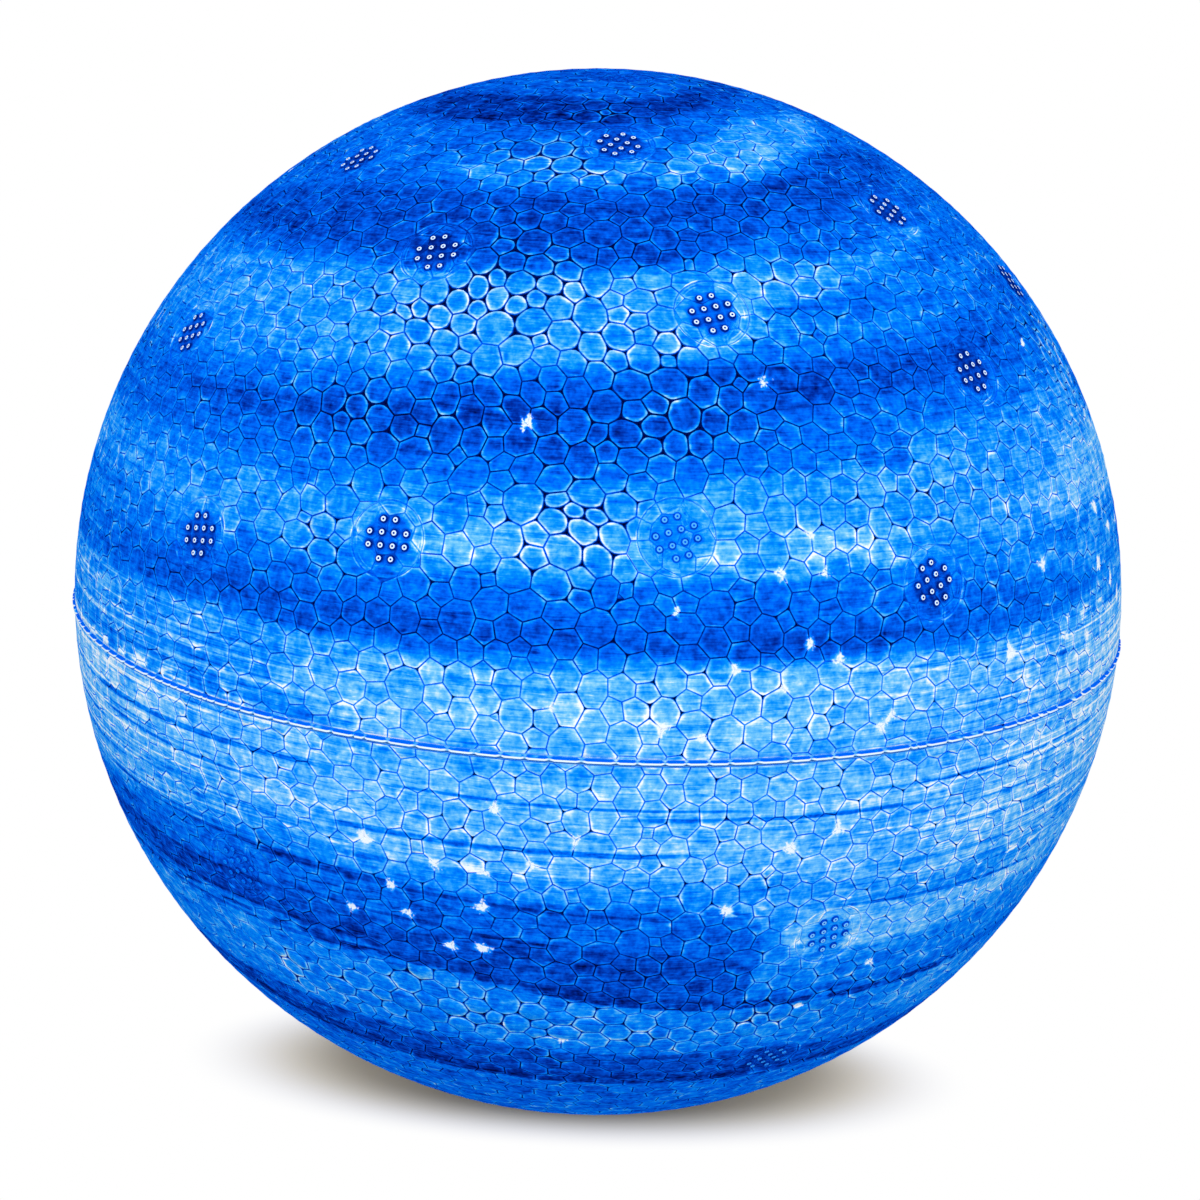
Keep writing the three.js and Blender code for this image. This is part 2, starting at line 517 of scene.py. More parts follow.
def raise_beads(thing, kind, chance):
    """Insets and crowns the beads of one kind, and marks their edges, middles and tone."""
    open_mesh(thing)
    if not select_faces(thing, lambda face: face.material_index == kind):
        close_mesh()
        return
    even = kind != sliver_kind
    bpy.ops.mesh.inset(
        thickness=groove_halves[kind], depth=groove_depth, use_individual=True, use_even_offset=even,
    )
    work = bmesh.from_edit_mesh(thing.data)
    from_edge, tone = work.verts.layers.float["from_edge"], work.verts.layers.float["bead_tone"]
    for face in work.faces:
        if face.select:
            shade = chance.random()
            whole = round_its_middle(face)
            for vert in face.verts:
                vert[from_edge] = 0 if whole else crescent_mark
                vert[tone] = shade
            face.select_set(whole)
    known = len(work.verts)
    bmesh.update_edit_mesh(thing.data)
    bpy.ops.mesh.poke(offset=bead_crown if kind != sliver_kind else 0)
    work = bmesh.from_edit_mesh(thing.data)
    work.verts.ensure_lookup_table()
    from_edge = work.verts.layers.float["from_edge"]
    for vert in work.verts[known:]:
        reach = [edge.calc_length() for edge in vert.link_edges]
        vert[from_edge] = crown_mark_share * sum(reach) / len(reach) / mm
    bmesh.update_edit_mesh(thing.data)
    close_mesh()


def sink_holes(thing):
    """Pulls in the middle corner of every hole between beads."""
    work = open_mesh(thing)
    from_edge = work.verts.layers.float["from_edge"]
    for vert in work.verts:
        kinds = {face.material_index for face in vert.link_faces}
        if hole_kind in kinds:
            vert[from_edge] = hole_mark
        if kinds == {hole_kind} and not vert.is_boundary:
            vert[from_edge] = pit_mark
            vert.select_set(True)
    bmesh.update_edit_mesh(thing.data)
    bpy.ops.transform.shrink_fatten(value=-hole_depth)
    close_mesh()


print("grooves", groove_depth / mm, "mm deep, crowns", bead_crown / mm, "mm high")

# %% [markdown]
# ## Two half skins
# The net is copied for each half and cut by a plane with the bisect operator, so bead walls run on across the
# parting line as they do on the ball. The upper half is cut a little higher, where its lip will begin. The grooves
# are marked before the beads are raised, some deeper than others, and shallow along the vents' circles.

# %% Half skins
lip_height = 0.5 * mm
shortest_edge = 0.04 * mm
groove_spread = 0.24


def along_and_off(points, outwards):
    """How far points given as rows lie along a vent's axis, and how far off it."""
    along = points @ outwards
    return along, np.linalg.norm(points - np.outer(along, outwards), axis=1)


def keep_half(thing, height, above):
    """Cuts a mesh by a level plane and keeps what is above or below it."""
    open_mesh(thing, "SELECT")
    bpy.ops.mesh.bisect(plane_co=(0, 0, height), plane_no=(0, 0, 1), clear_inner=above, clear_outer=not above)
    close_mesh()


def half_skin(name, cut_height, keep_above, seed):
    """One half of the net, cut at a height, with its beads raised."""
    half = copy_of(skin_net, name)
    chance = np.random.default_rng(seed)
    corners = read_corners(half.data)
    grooves = groove_mark - groove_spread * chance.random(len(corners))
    for latitude, longitude, _ in vents:
        along, sideways = along_and_off(corners, np.array(direction_to(latitude, longitude)))
        grooves[(along > 0) & (abs(sideways - vent_radius) < 0.001 * mm)] = circle_mark
    for mark, values in (("from_edge", grooves), ("bead_tone", grooves * 0 + 0.5), ("bare_foam", grooves * 0)):
        add_mark(half.data, mark, values)
    keep_half(half, cut_height, keep_above)
    merge_near(half, shortest_edge)
    sort_faces(half)
    for kind in (bead_kind, loose_kind, sliver_kind):
        raise_beads(half, kind, chance)
    sink_holes(half)
    return half


upper = half_skin("upper_half_foam", rim_height + lip_height, True, seed=31)
lower = half_skin("lower_half_foam", -rim_height, False, seed=41)
for half in (upper, lower):
    print(half.name, sum(len(face.vertices) - 2 for face in half.data.polygons), "triangles in the skin")

# %% [markdown]
# ## Pressing the vents flat
# A vent's plug is flat, so the skin inside its circle lies on a plane a little below the ball's curve, and the beads
# there are pressed flatter. Each corner inside the circle is slid along the vent's axis onto that plane, and keeps a
# share of its height above the grooves. The step at the circle comes from the groove that was cut along it.

# %% Press the vents
pressed_share = 0.35


def press_vents(thing):
    corners = read_corners(thing.data)
    for latitude, longitude, _ in vents:
        outwards = np.array(direction_to(latitude, longitude))
        along, sideways = along_and_off(corners, outwards)
        inside = (along > 0) & (sideways < vent_radius + 0.01 * mm)
        relief = np.linalg.norm(corners[inside], axis=1) - ball_radius
        change = ball_radius - vent_depth + relief * pressed_share - along[inside]
        corners[inside] += np.outer(change, outwards)
    thing.data.vertices.foreach_set("co", corners.ravel())
    thing.data.update()


for half in (upper, lower):
    press_vents(half)
print("vents pressed", round(vent_depth / mm, 2), "mm deep")

# %% [markdown]
# ## The lip on the upper rim
# Foam creeps into the line where the mould parts and leaves a thin lip, here along the upper rim. It stops at every
# bead wall, so it looks like a row of dashes. The cut edge of the upper skin is subdivided, then drawn out and down
# with the extrude operator. Between walls the new corners stand out from the ball by the lip's reach, and at a wall
# they stay back. A mark on them rises from 0 at a wall to 1 halfway to the next.

# %% Lip
lip_cuts = 5
lip_smoothings = 2
lip_gap_depth = 0.12 * mm


def edge_loop(work, wanted=lambda place: True):
    """Selects the open edges whose corners all pass a test."""
    for edge in work.edges:
        edge.select_set(edge.is_boundary and all(wanted(vert.co) for vert in edge.verts))


def draw_ring(thing, radius, height):
    """Extrudes the selected loop and moves the new one to a radius and a height."""
    bpy.ops.mesh.extrude_edges_move()
    work = bmesh.from_edit_mesh(thing.data)
    for vert in work.verts:
        if vert.select:
            vert.co.xy *= (radius(vert) if callable(radius) else radius) / vert.co.xy.length
            vert.co.z = height
    bmesh.update_edit_mesh(thing.data)


def draw_lip(thing):
    work = open_mesh(thing)
    bpy.ops.mesh.select_mode(type="EDGE")
    edge_loop(work)
    known = len(work.verts)
    bmesh.update_edit_mesh(thing.data)
    bpy.ops.mesh.subdivide(number_cuts=lip_cuts)
    work = bmesh.from_edit_mesh(thing.data)
    work.verts.ensure_lookup_table()
    lip = work.verts.layers.float["lip"]
    between = [vert for vert in work.verts[known:] if vert.is_boundary]
    for vert in between:
        vert[lip] = 1
    for _ in range(lip_smoothings):
        beside = [[edge.other_vert(vert) for edge in vert.link_edges if edge.is_boundary] for vert in between]
        means = [sum(other[lip] for other in pair) / 2 for pair in beside]
        for vert, mean in zip(between, means):
            vert[lip] = mean
    edge_loop(work)
    bmesh.update_edit_mesh(thing.data)

    def reach(vert):
        return ball_radius + (lip_reach if vert[lip] > 0 else -lip_gap_depth)

    draw_ring(thing, reach, rim_height + lip_height / 2)
    draw_ring(thing, reach, rim_height)
    close_mesh()


for half in (upper, lower):
    add_mark(half.data, "lip", np.zeros(len(half.data.vertices)))
draw_lip(upper)
print("lip reaches", round(float(np.hypot(*read_corners(upper.data).T[:2]).max()) / mm, 3), "mm from the axis")

# %% [markdown]
# ## Rims, rebate and spigot
# Inside the skin the two rims plug together: a spigot on the lower one fills a rebate in the upper one. Both are
# turned shapes, so each starts as a circle and is extruded ring by ring down its section, which repeats the frame's
# sizes. The rounded edges are short runs of rings round a quarter circle. The bead walls on them are too fine to
# model and are drawn by the paint.

# %% Rim sections
shell_wall = 14 * mm
fit_gap = 2 * rim_height
spigot_width = 6.5 * mm
spigot_draft = 0.4 * mm
spigot_round = 1.2 * mm
rim_sides = 144
round_steps = 4

hollow_radius = ball_radius - shell_wall
spigot_foot = hollow_radius + spigot_width
spigot_side = spigot_foot - spigot_draft
round_height = spigot_top - spigot_round


def quarter(centre_radius, radius, first, last):
    """Rings round a quarter circle at the height of the spigot's rounded edges, as (radius, height)."""
    angles = [math.radians(first + (last - first) * step / round_steps) for step in range(round_steps + 1)]
    return [(centre_radius + radius * math.cos(angle), round_height + radius * math.sin(angle)) for angle in angles]


rim_inset = 0.6 * mm
upper_rings = [
    (ball_radius - rim_inset, rim_height), (spigot_foot + fit_gap, rim_height),
    *quarter(spigot_side - spigot_round, spigot_round + fit_gap, 0, 90),
    (hollow_radius + rim_inset, spigot_top + fit_gap),
]
lower_rings = [
    (ball_radius - rim_inset, -rim_height), (spigot_foot, -rim_height),
    *quarter(spigot_side - spigot_round, spigot_round, 0, 90),
    *quarter(hollow_radius + spigot_round, spigot_round, 90, 180),
    (hollow_radius, 0),
]


def draw_rim(name, rings):
    """A turned band that follows a list of rings."""
    radius, height = rings[0]
    rim = add_shape(bpy.ops.mesh.primitive_circle_add, vertices=rim_sides, radius=radius, location=(0, 0, height))
    rim.name = rim.data.name = name
    open_mesh(rim, "SELECT")
    for radius, height in rings[1:]:
        draw_ring(rim, radius, height)
    close_mesh()
    return rim


upper_rim = draw_rim("upper_rim", upper_rings)
lower_rim = draw_rim("lower_rim", lower_rings)
print("rims drawn with", len(upper_rings), "and", len(lower_rings), "rings")

# %% [markdown]
# ## The hollow
# Inside, the wall was pressed by the mould's core, so it is a bead net too, bare and a little softer. The same
# function makes it at the hollow's radius. Poking every bead towards the middle of the ball gives low round crowns
# for few faces, and flipping the faces turns the net to face the hollow.

# %% Hollow net
hollow_crown = 0.16 * mm
hollow_net = bead_net("hollow_net", hollow_radius + hollow_crown, seed=57)


def half_hollow(name, cut_height, keep_above):
    half = copy_of(hollow_net, name)
    add_mark(half.data, "from_edge", np.full(len(half.data.vertices), groove_mark))
    keep_half(half, cut_height, keep_above)
    known = len(open_mesh(half, "SELECT").verts)
    bpy.ops.mesh.poke(offset=-hollow_crown)
    work = bmesh.from_edit_mesh(half.data)
    work.verts.ensure_lookup_table()
    from_edge = work.verts.layers.float["from_edge"]
    for vert in work.verts[known:]:
        vert[from_edge] = bead_width / 2 / mm
    bmesh.update_edit_mesh(half.data)
    bpy.ops.mesh.select_all(action="SELECT")
    bpy.ops.mesh.flip_normals()
    close_mesh()
    return half


upper_hollow = half_hollow("upper_hollow", spigot_top + fit_gap, True)
lower_hollow = half_hollow("lower_hollow", 0, False)
print(len(upper_hollow.data.polygons), "and", len(lower_hollow.data.polygons), "faces in the hollows")

# %% [markdown]
# ## Closing each half
# Skin, rim and hollow of a half are joined into one mesh. The open loops lie in flat planes, two by two, and the fill
# operator closes the flat ring between them. Each half then is one closed body, as it is moulded.

# %% Close the halves
def fill_ring(thing, low_radius, high_radius):
    """Fills between the two open loops whose distance from the ball's axis lies between two radii."""
    work = open_mesh(thing)
    bpy.ops.mesh.select_mode(type="EDGE")
    edge_loop(work, lambda place: low_radius < place.xy.length < high_radius)
    bmesh.update_edit_mesh(thing.data)
    bpy.ops.mesh.fill(use_beauty=True)
    close_mesh()


def close_half(skin, rim, hollow):
    for part in (rim, hollow):
        add_mark(part.data, "bare_foam", np.ones(len(part.data.vertices)))
    add_mark(rim.data, "from_edge", np.full(len(rim.data.vertices), bead_width / 2 / mm))
    only(skin, rim, hollow)
    bpy.ops.object.join()
    middle = (spigot_foot + hollow_radius) / 2
    fill_ring(skin, middle, ball_radius + 2 * lip_reach)
    fill_ring(skin, 0, middle)
    open_mesh(skin, "SELECT")
    bpy.ops.mesh.normals_make_consistent(inside=False)
    bpy.ops.mesh.quads_convert_to_tris(quad_method="BEAUTY", ngon_method="BEAUTY")
    close_mesh()


for skin, rim, hollow in ((upper, upper_rim, upper_hollow), (lower, lower_rim, lower_hollow)):
    close_half(skin, rim, hollow)
    print(skin.name, len(skin.data.polygons), "triangles")
bpy.data.objects.remove(skin_net)
bpy.data.objects.remove(hollow_net)

# %% [markdown]
# ## Nibs in the vents
# The face of each vent plug is drilled with twelve small holes. Foam creeps into them and leaves a nib with a dimple
# in its tip at each hole. One nib is modelled from a cylinder, its top is inset twice and its middle poked down. It
# is copied to every place of the grid, a few left out and none quite the same size, because some tear off with the
# mould. A union then makes them one body with the skin.

# %% Nibs
nib_radius = 0.37 * mm
nib_height = 0.13 * mm
nib_root = 0.3 * mm
nib_bevel = 0.05 * mm
nib_dimple = 0.15 * mm
nib_pitch = 1.52 * mm
nib_columns = (-1.5, -0.5, 0.5, 1.5)
grid_corner = 2.5
missing_share = 0.04


def make_nib():
    nib = add_shape(
        bpy.ops.mesh.primitive_cylinder_add, vertices=8, radius=nib_radius, depth=nib_height + nib_root,
        location=(0, 0, (nib_height - nib_root) / 2),
    )
    open_mesh(nib)
    select_faces(nib, lambda face: face.normal.z > 0.9)
    bpy.ops.mesh.inset(thickness=nib_bevel, depth=nib_bevel)
    bpy.ops.mesh.inset(thickness=nib_radius - nib_bevel - nib_dimple)
    bpy.ops.mesh.poke(offset=-nib_dimple)
    close_mesh()
    return nib


def add_nibs(skin, nib, in_upper, chance):
    copies = []
    for place in vents:
        outwards, along, across = vent_axes(*place)
        turn = Matrix((along, across, outwards)).transposed().to_4x4()
        for u in nib_columns:
            for v in nib_columns:
                if (place[0] > 0) != in_upper or abs(u) + abs(v) > grid_corner or chance.random() < missing_share:
                    continue
                size = chance.uniform(0.88, 1.1)
                foot = outwards * (ball_radius - vent_depth) + (along * u + across * v) * nib_pitch
                copies.append(copy_of(nib, "nib_copy"))
                copies[-1].data.transform(Matrix.Translation(foot) @ turn @ Matrix.Diagonal((size, size, 1, 1)))
    only(*copies)
    bpy.ops.object.join()
    apply_modifier(skin, "BOOLEAN", operation="UNION", object=copies[0], solver="MANIFOLD")
    bpy.data.objects.remove(copies[0])
    return len(copies)


nib = make_nib()
for half in (upper, lower):
    count = add_nibs(half, nib, half is upper, np.random.default_rng(71))
    print(half.name, count, "nibs", len(half.data.polygons), "faces")
bpy.data.objects.remove(nib)

# %% [markdown]
# ## Ground and paints
# Under the strokes lies a ground that was brushed on first. Its tone changes from ring to ring, given here as
# latitude and tone. A tone is a number from 0, near-black, to 1, white. Each paint that came after has one tone.

# %% Ground and paints
ground = [
    (-90, 0.36), (-60, 0.37), (-46, 0.41), (-40, 0.39), (-33, 0.5), (-24, 0.49), (-18, 0.49), (-12, 0.63), (-6, 0.65),
    (2, 0.64), (8, 0.58), (14, 0.46), (21, 0.52), (28, 0.41), (34, 0.47), (40, 0.49), (47, 0.42), (54, 0.38),
    (61, 0.41), (67, 0.41), (74, 0.36), (80, 0.34), (90, 0.34),
]
paints = {"light": 0.575, "pale": 0.70, "frost": 0.77, "royal": 0.385, "dark": 0.275, "navy": 0.19, "chalk": 0.93}
print("ground in", len(ground), "rings under", len(paints), "paints")

# %% [markdown]
# ## Brush strokes on the front
# The blues were brushed on while the ball turned, so every stroke runs round it. The table holds, for each paint, its
# strokes as a hand would lay them, and each stroke as points of longitude, latitude and half its width, in degrees.
# A half width below zero lets a stroke run out in a ragged end.

# %% Front strokes
front_strokes = {
    "light": [
        [(-75, 38, 2), (-50, 38.5, 4.6), (-20, 39.5, 5.4), (0, 40, 5.6), (15, 41, 4.2), (28, 44.4, 1.8),
         (42, 48, 1.2), (55, 50, -0.5)],
        [(-45, 58, -1), (-30, 57.4, 0.8), (-5, 56.8, 0.9), (12, 59.2, 2.2), (28, 62.6, 4), (45, 66, 3.6),
         (60, 68, 1.6), (70, 69, -1)],
        [(-60, 19, -1), (-50, 19, 1.6), (-20, 18.8, 2.6), (0, 19.5, 3.4), (30, 22, 4.4), (50, 24, 6), (75, 26, 7)],
        [(-80, 5, 3), (-60, 4.5, 4), (-30, 4, 5), (0, 4, 5), (75, 4, 6)],
        [(-54, -8, -1), (-42, -8, 3.4), (-30, -8, 5), (10, -9, 5.5), (30, -12, 8), (60, -12, 8), (80, -11, 6)],
        [(45, 14, 0), (60, 12, 4), (75, 11, 6)],
        [(34, -31, -1), (45, -31, 2), (58, -31, -1)],
    ],
    "pale": [
        [(-34, 4, -1), (-20, 3.9, 3.6), (0, 3.8, 5), (20, 4, 5.2), (40, 3.5, 5.2), (60, 3.5, 5), (85, 3, 4),
         (110, 2, -1)],
        [(-75, -3, 3), (-50, -4.4, 4.2), (-25, -5.2, 4.8), (0, -5.8, 5), (20, -6, 5.4), (40, -6.8, 6.8),
         (60, -6, 5.6), (90, -4, 1)],
        [(-24, 18, -1), (-14, 18, 1.4), (-8, 18.2, 0.6), (-2, 18.2, -1)],
        [(8, 18.5, -1), (12, 18.8, 1.4), (22, 19, 1.8), (28, 19.4, 1.3), (36, 20, -1)],
        [(40, 21, -2), (52, 21.2, 1.6), (62, 22, 3.6), (75, 22, 4), (95, 22, -1)],
        [(18, -18.3, -2), (21, -18.3, 2.4), (30, -18.4, 2.8), (42, -18.2, 1.4), (60, -16, 1.6), (80, -15, -1)],
        [(14, 57, -1.5), (20, 59, -0.3), (28, 61, -0.2), (38, 64, -1.5)],
    ],
    "frost": [
        [(42, 3.5, -1), (54, 3.5, 2), (68, 3, 3), (84, 3, 2), (100, 3, -1)],
        [(46, -3.4, -1), (58, -3.4, 2), (72, -3.4, 2.6), (90, -3, -1)],
        [(-80, -1.4, 1.6), (-60, -1.6, 1.8), (-44, -1.8, 1), (-34, -2, -1)],
        [(28, -8, -1), (37, -8.4, 1.7), (46, -8.4, 1.7), (57, -8, -1)],
    ],
    "royal": [
        [(-100, 10, 1), (-65, 11, 1.8), (-50, 11.5, 2), (-30, 11.8, 2.6), (-5, 12, 3.2), (25, 12.3, 3),
         (40, 11.5, 2.6), (52, 11.5, 1.8), (64, 12, -1)],
        [(-100, 25, 1), (-65, 27, 2.6), (-35, 28, 3.4), (-5, 29.5, 5), (10, 31, 4.6), (25, 33.5, 3.4), (40, 35, 3.8),
         (52, 37, 4.4), (64, 40, 4), (95, 42, 0)],
        [(-120, 46, 0), (-80, 48, 3.8), (-50, 48, 4.4), (-20, 49.5, 5), (-5, 50, 4.8), (10, 51, 4.4), (25, 53.5, 4),
         (40, 56.5, 4), (55, 59, 4.4), (75, 60, 3), (110, 61, 0)],
        [(-85, -18, 0), (-75, -18, 3.2), (-50, -17.5, 3.9), (-35, -17, 4.4), (-20, -18, 4.6), (-5, -19.5, 5.6),
         (5, -20.4, 6), (14, -20.8, 6), (17, -21, 4), (19, -21, -3)],
        [(14, -26.4, 0.5), (20, -26.8, 1.2), (30, -27, 1.1), (45, -27.2, 0.9), (60, -26.7, 0.8), (80, -26, -0.5)],
    ],
    "dark": [
        [(-60, 10.8, -0.5), (-48, 11.2, 0.8), (-20, 11, 1), (0, 11.4, 0.8), (25, 10.8, 0.8), (45, 10.6, -0.5)],
        [(-62, 27.4, -1), (-50, 28, 0.1), (-28, 29, 1.7), (-5, 29.6, 3), (10, 31.5, 2.8), (25, 34, 1.6),
         (40, 35.2, 1.6), (52, 36.8, 1), (62, 38, -0.5)],
        [(18, 41.3, -0.4), (22, 41.3, 0.6), (34, 41.8, 0.5), (40, 42, -0.4)],
        [(-80, 47, 1), (-50, 48.8, 4.4), (-20, 50, 3.6), (-6, 51.8, 2), (6, 52.4, 2), (25, 54, 2.8), (40, 57, 3),
         (58, 59.6, 3), (75, 61, -0.5)],
        [(-22, 47.4, -0.5), (-12, 47.4, 1.4), (4, 48.2, 1.5), (18, 50.2, 1), (26, 51, -0.5)],
        [(-120, 71, 0), (-80, 70, 2.4), (-50, 69, 4.4), (-20, 69, 4.4), (0, 69, 3.8), (10, 70.5, 3.2), (25, 73.5, 3),
         (40, 76, 2.6), (55, 78, 2.4), (70, 79, 2), (110, 80, 0)],
        [(-75, -19, 2), (-50, -19.3, 1.6), (-35, -19.4, 1.8), (-20, -20.4, 2), (-5, -21.6, 3), (5, -22.8, 3.4),
         (14, -23.6, 3.4), (17, -24, 2), (18.5, -24, -2)],
        [(-80, -33, 1), (-65, -35, 2), (-40, -35.8, 2.4), (-35, -36.8, 2.8), (-5, -38.4, 3.4), (25, -39.6, 3.4),
         (38, -40.4, 2.2), (60, -39.5, 1.8), (80, -39, 0.5), (95, -38, -1)],
    ],
    "navy": [
        [(-70, 69.6, -0.5), (-50, 69, 3), (-20, 69, 3.2), (0, 69.4, 2.4), (14, 71.4, 2), (30, 74.6, 1.6),
         (50, 77.4, -0.5)],
        [(-78, -22.4, 0.3), (-60, -22.3, 0.5), (-45, -22, 0.3), (-15, -23.2, 0.5), (0, -25.6, 0.9), (12, -27.2, 0.7),
         (30, -27.9, 0.6), (45, -28, 0.6), (64, -27.6, -0.3)],
        [(-24, -19.4, -0.3), (-14, -19.8, 0.3), (0, -21.4, 0.5), (12, -23, 0.4), (16, -23.4, -0.3)],
        [(-60, -35.6, -0.4), (-48, -37, 0.8), (-30, -39, 1.2), (-15, -40.4, 1.3), (0, -41, 1.2), (20, -41.4, 1.1),
         (36, -41.4, 0.5), (52, -40.8, -0.4)],
    ],
    "chalk": [
        [(-36, -10.4, -0.3), (-30, -10.4, 0.16), (-8, -11.4, 0.2), (0, -11.6, -0.3)],
        [(34, 4.6, -0.3), (44, 4.6, 0.22), (78, 4.4, 0.3), (86, 4.4, -0.3)],
        [(40, 9.2, -0.3), (48, 9, 0.2), (64, 8.6, 0.3), (76, 8.4, -0.3)],
        [(36, -4.6, -0.3), (44, -4.6, 0.24), (66, -4, 0.26), (78, -3.8, -0.3)],
        [(44, -10.8, -0.3), (52, -10.6, 0.24), (74, -9.6, 0.3), (82, -9.2, -0.3)],
        [(-84, -3.6, -0.3), (-76, -3.6, 0.2), (-60, -4.4, 0.14), (-50, -4.8, -0.3)],
        [(6, -15, -0.3), (10, -15, 0.24), (30, -14.9, 0.28), (58, -14, 0.24), (62, -14, -0.3)],
        [(16, -7.4, -0.3), (19, -7.4, 0.34), (26, -7.6, 0.4), (40, -7.6, -0.3)],
        [(22, 7.4, -0.3), (30, 7.3, 0.3), (52, 7.2, 0.35), (66, 7, -0.3)],
        [(28, -1.9, -0.3), (34, -1.9, 0.3), (70, -1.4, 0.3), (80, -1.2, -0.3)],
        [(-80, 0.9, -0.3), (-72, 0.9, 0.4), (-45, 1.1, 0.4), (-25, 1.2, -0.3)],
    ],
}
print(sum(len(paths) for paths in front_strokes.values()), "strokes on the front")

# %% [markdown]
# ## Brush strokes on the back
# The photograph doesn't show the back, so its strokes carry on in the same manner on about the same rings. Where one
# crosses the middle of the back, its longitude simply runs on past 180 degrees.

# %% Back strokes
back_strokes = {
    "royal": [
        [(95, 12, -1), (115, 13, 3), (150, 12, 3.8), (200, 11, 3.2), (240, 11, 2.6), (262, 10, -1)],
        [(80, 28, -1), (110, 28, 4), (150, 30, 5), (190, 29, 4.4), (230, 28, 4.4), (275, 26, 1)],
        [(92, 49, -1), (130, 48, 4.6), (180, 49, 4.2), (220, 47, 4.8), (260, 46, -1)],
        [(82, -19, -1), (95, -19, 3.4), (140, -20, 5), (190, -18, 4.4), (230, -19, 3.6), (268, -19, 1)],
        [(-180, -55, 3), (-60, -57, 3), (60, -54, 3.4), (180, -55, 3)],
    ],
    "dark": [
        [(118, 13, -1), (135, 12.6, 2), (180, 11.6, 2.4), (225, 11, -1)],
        [(105, 28, -1), (125, 28.6, 2.6), (160, 30, 3.2), (210, 28.6, 2.8), (250, 27, -1)],
        [(112, 48.6, -1), (140, 48, 3), (200, 48.4, 2.6), (240, 46.6, -1)],
        [(90, 67, -1), (120, 68, 2.8), (180, 69, 3.8), (240, 70, 2.8), (262, 71, -1)],
        [(100, -20, -1), (120, -21, 2.2), (170, -20.4, 2.6), (215, -20, 1.6), (250, -20, -1)],
        [(90, -37, -1), (110, -37, 3.2), (170, -38, 3.8), (230, -36, 3), (285, -34, 1)],
    ],
    "light": [
        [(80, 38, -1), (110, 38, 4), (160, 39.5, 4), (220, 38.5, 4.4), (280, 38, 2)],
        [(90, 20, 1), (130, 20.5, 3.4), (180, 21, 3.6), (230, 20, 3), (290, 19, 1)],
        [(85, -8, 5), (150, -8, 6), (220, -8, 6), (275, -8, 3)],
        [(85, 4, 5), (150, 4, 5), (220, 4, 5), (275, 4.4, 4)],
    ],
    "pale": [
        [(100, 2, -1), (120, 3, 3.4), (170, 4.4, 4.4), (220, 3.4, 3.6), (262, 1, 1)],
        [(118, -7, -1), (150, -6.6, 3), (210, -7.4, 3.6), (250, -6, -1)],
        [(105, 20, -1), (120, 20.5, 1.8), (150, 21, 2.4), (185, 20, -1)],
    ],
    "chalk": [
        [(120, -1.6, -0.3), (130, -1.6, 0.4), (190, -2, 0.3), (230, -2, -0.3)],
    ],
    "navy": [
        [(-180, -80, 4), (0, -80, 4), (180, -80, 4)],
    ],
}
print(sum(len(paths) for paths in back_strokes.values()), "strokes on the back and underside")

# %% [markdown]
# ## How far inside a stroke
# The paint needs more than yes or no at a corner: it needs to know how far inside a stroke the corner lies, in
# millimetres, and below zero how far outside. With that it can draw a soft or a ragged edge between corners too.

# %% Stroke field
stroke_reach = 4


def stroke_field(points, paint):
    """How far inside the strokes of one paint each point lies, in millimetres."""
    latitude, longitude = places_of(points)
    found = np.full(len(points), -stroke_reach, float)
    for path in front_strokes.get(paint, []) + back_strokes.get(paint, []):
        around, middle, half = np.array(path, float).T
        along = (longitude - around[0]) % 360 + around[0]
        inside = np.interp(along, around, half, right=-9) - np.abs(latitude - np.interp(along, around, middle))
        found = np.maximum(found, inside * math.radians(1) * ball_radius / mm)
    return np.clip(found, -stroke_reach, stroke_reach)


painted = [float((stroke_field(read_corners(upper.data), paint) > 0).mean()) for paint in paints]
print("share of the upper half under each paint", dict(zip(paints, np.round(painted, 2).tolist())))

# %% [markdown]
# ## Stray lines
# Single bristles drew long thin dark lines, about a millimetre wide, nearly straight round the ball. Each row gives a
# line's first longitude and latitude, its last ones, and half its width in millimetres. They are thinner than a bead,
# so a corner can't say whether it is inside one. It stores where the nearest line is instead, and the shader finds
# the line's edges between corners. The lines are dealt out to a few sets, so that those of one set lie far apart.

# %% Stray lines
stray_lines = [
    (32, -3.4, 64, -3.1, 0.3), (-62, -3.5, -22, -3.4, 0.42), (-20, -3.9, 16, -4.3, 0.32), (2, -5.2, 32, -5.4, 0.42),
    (-60, -5.6, -30, -6.1, 0.35), (-26, -8.5, 12, -8.8, 0.5), (-62, -12.3, -12, -14.3, 0.42),
    (-36, -13.6, 14, -16, 0.45), (22, -15.4, 56, -16.8, 0.4), (-60, -17.6, -32, -18.2, 0.4),
    (-32, -17, 0, -19.4, 0.4), (-58, -20.4, -22, -21.3, 0.45), (-60, -22.8, -20, -23.4, 0.45),
    (-40, -38.6, -4, -41.6, 0.45), (96, -4, 140, -4.2, 0.35), (100, -10.4, 162, -11, 0.4),
    (120, -15, 190, -15.6, 0.4), (170, -5, 232, -5.4, 0.35), (205, -12.4, 262, -12, 0.4), (110, 5.6, 180, 6, 0.35),
]
line_sets = 4
line_reach = 3
line_fade = 0.12


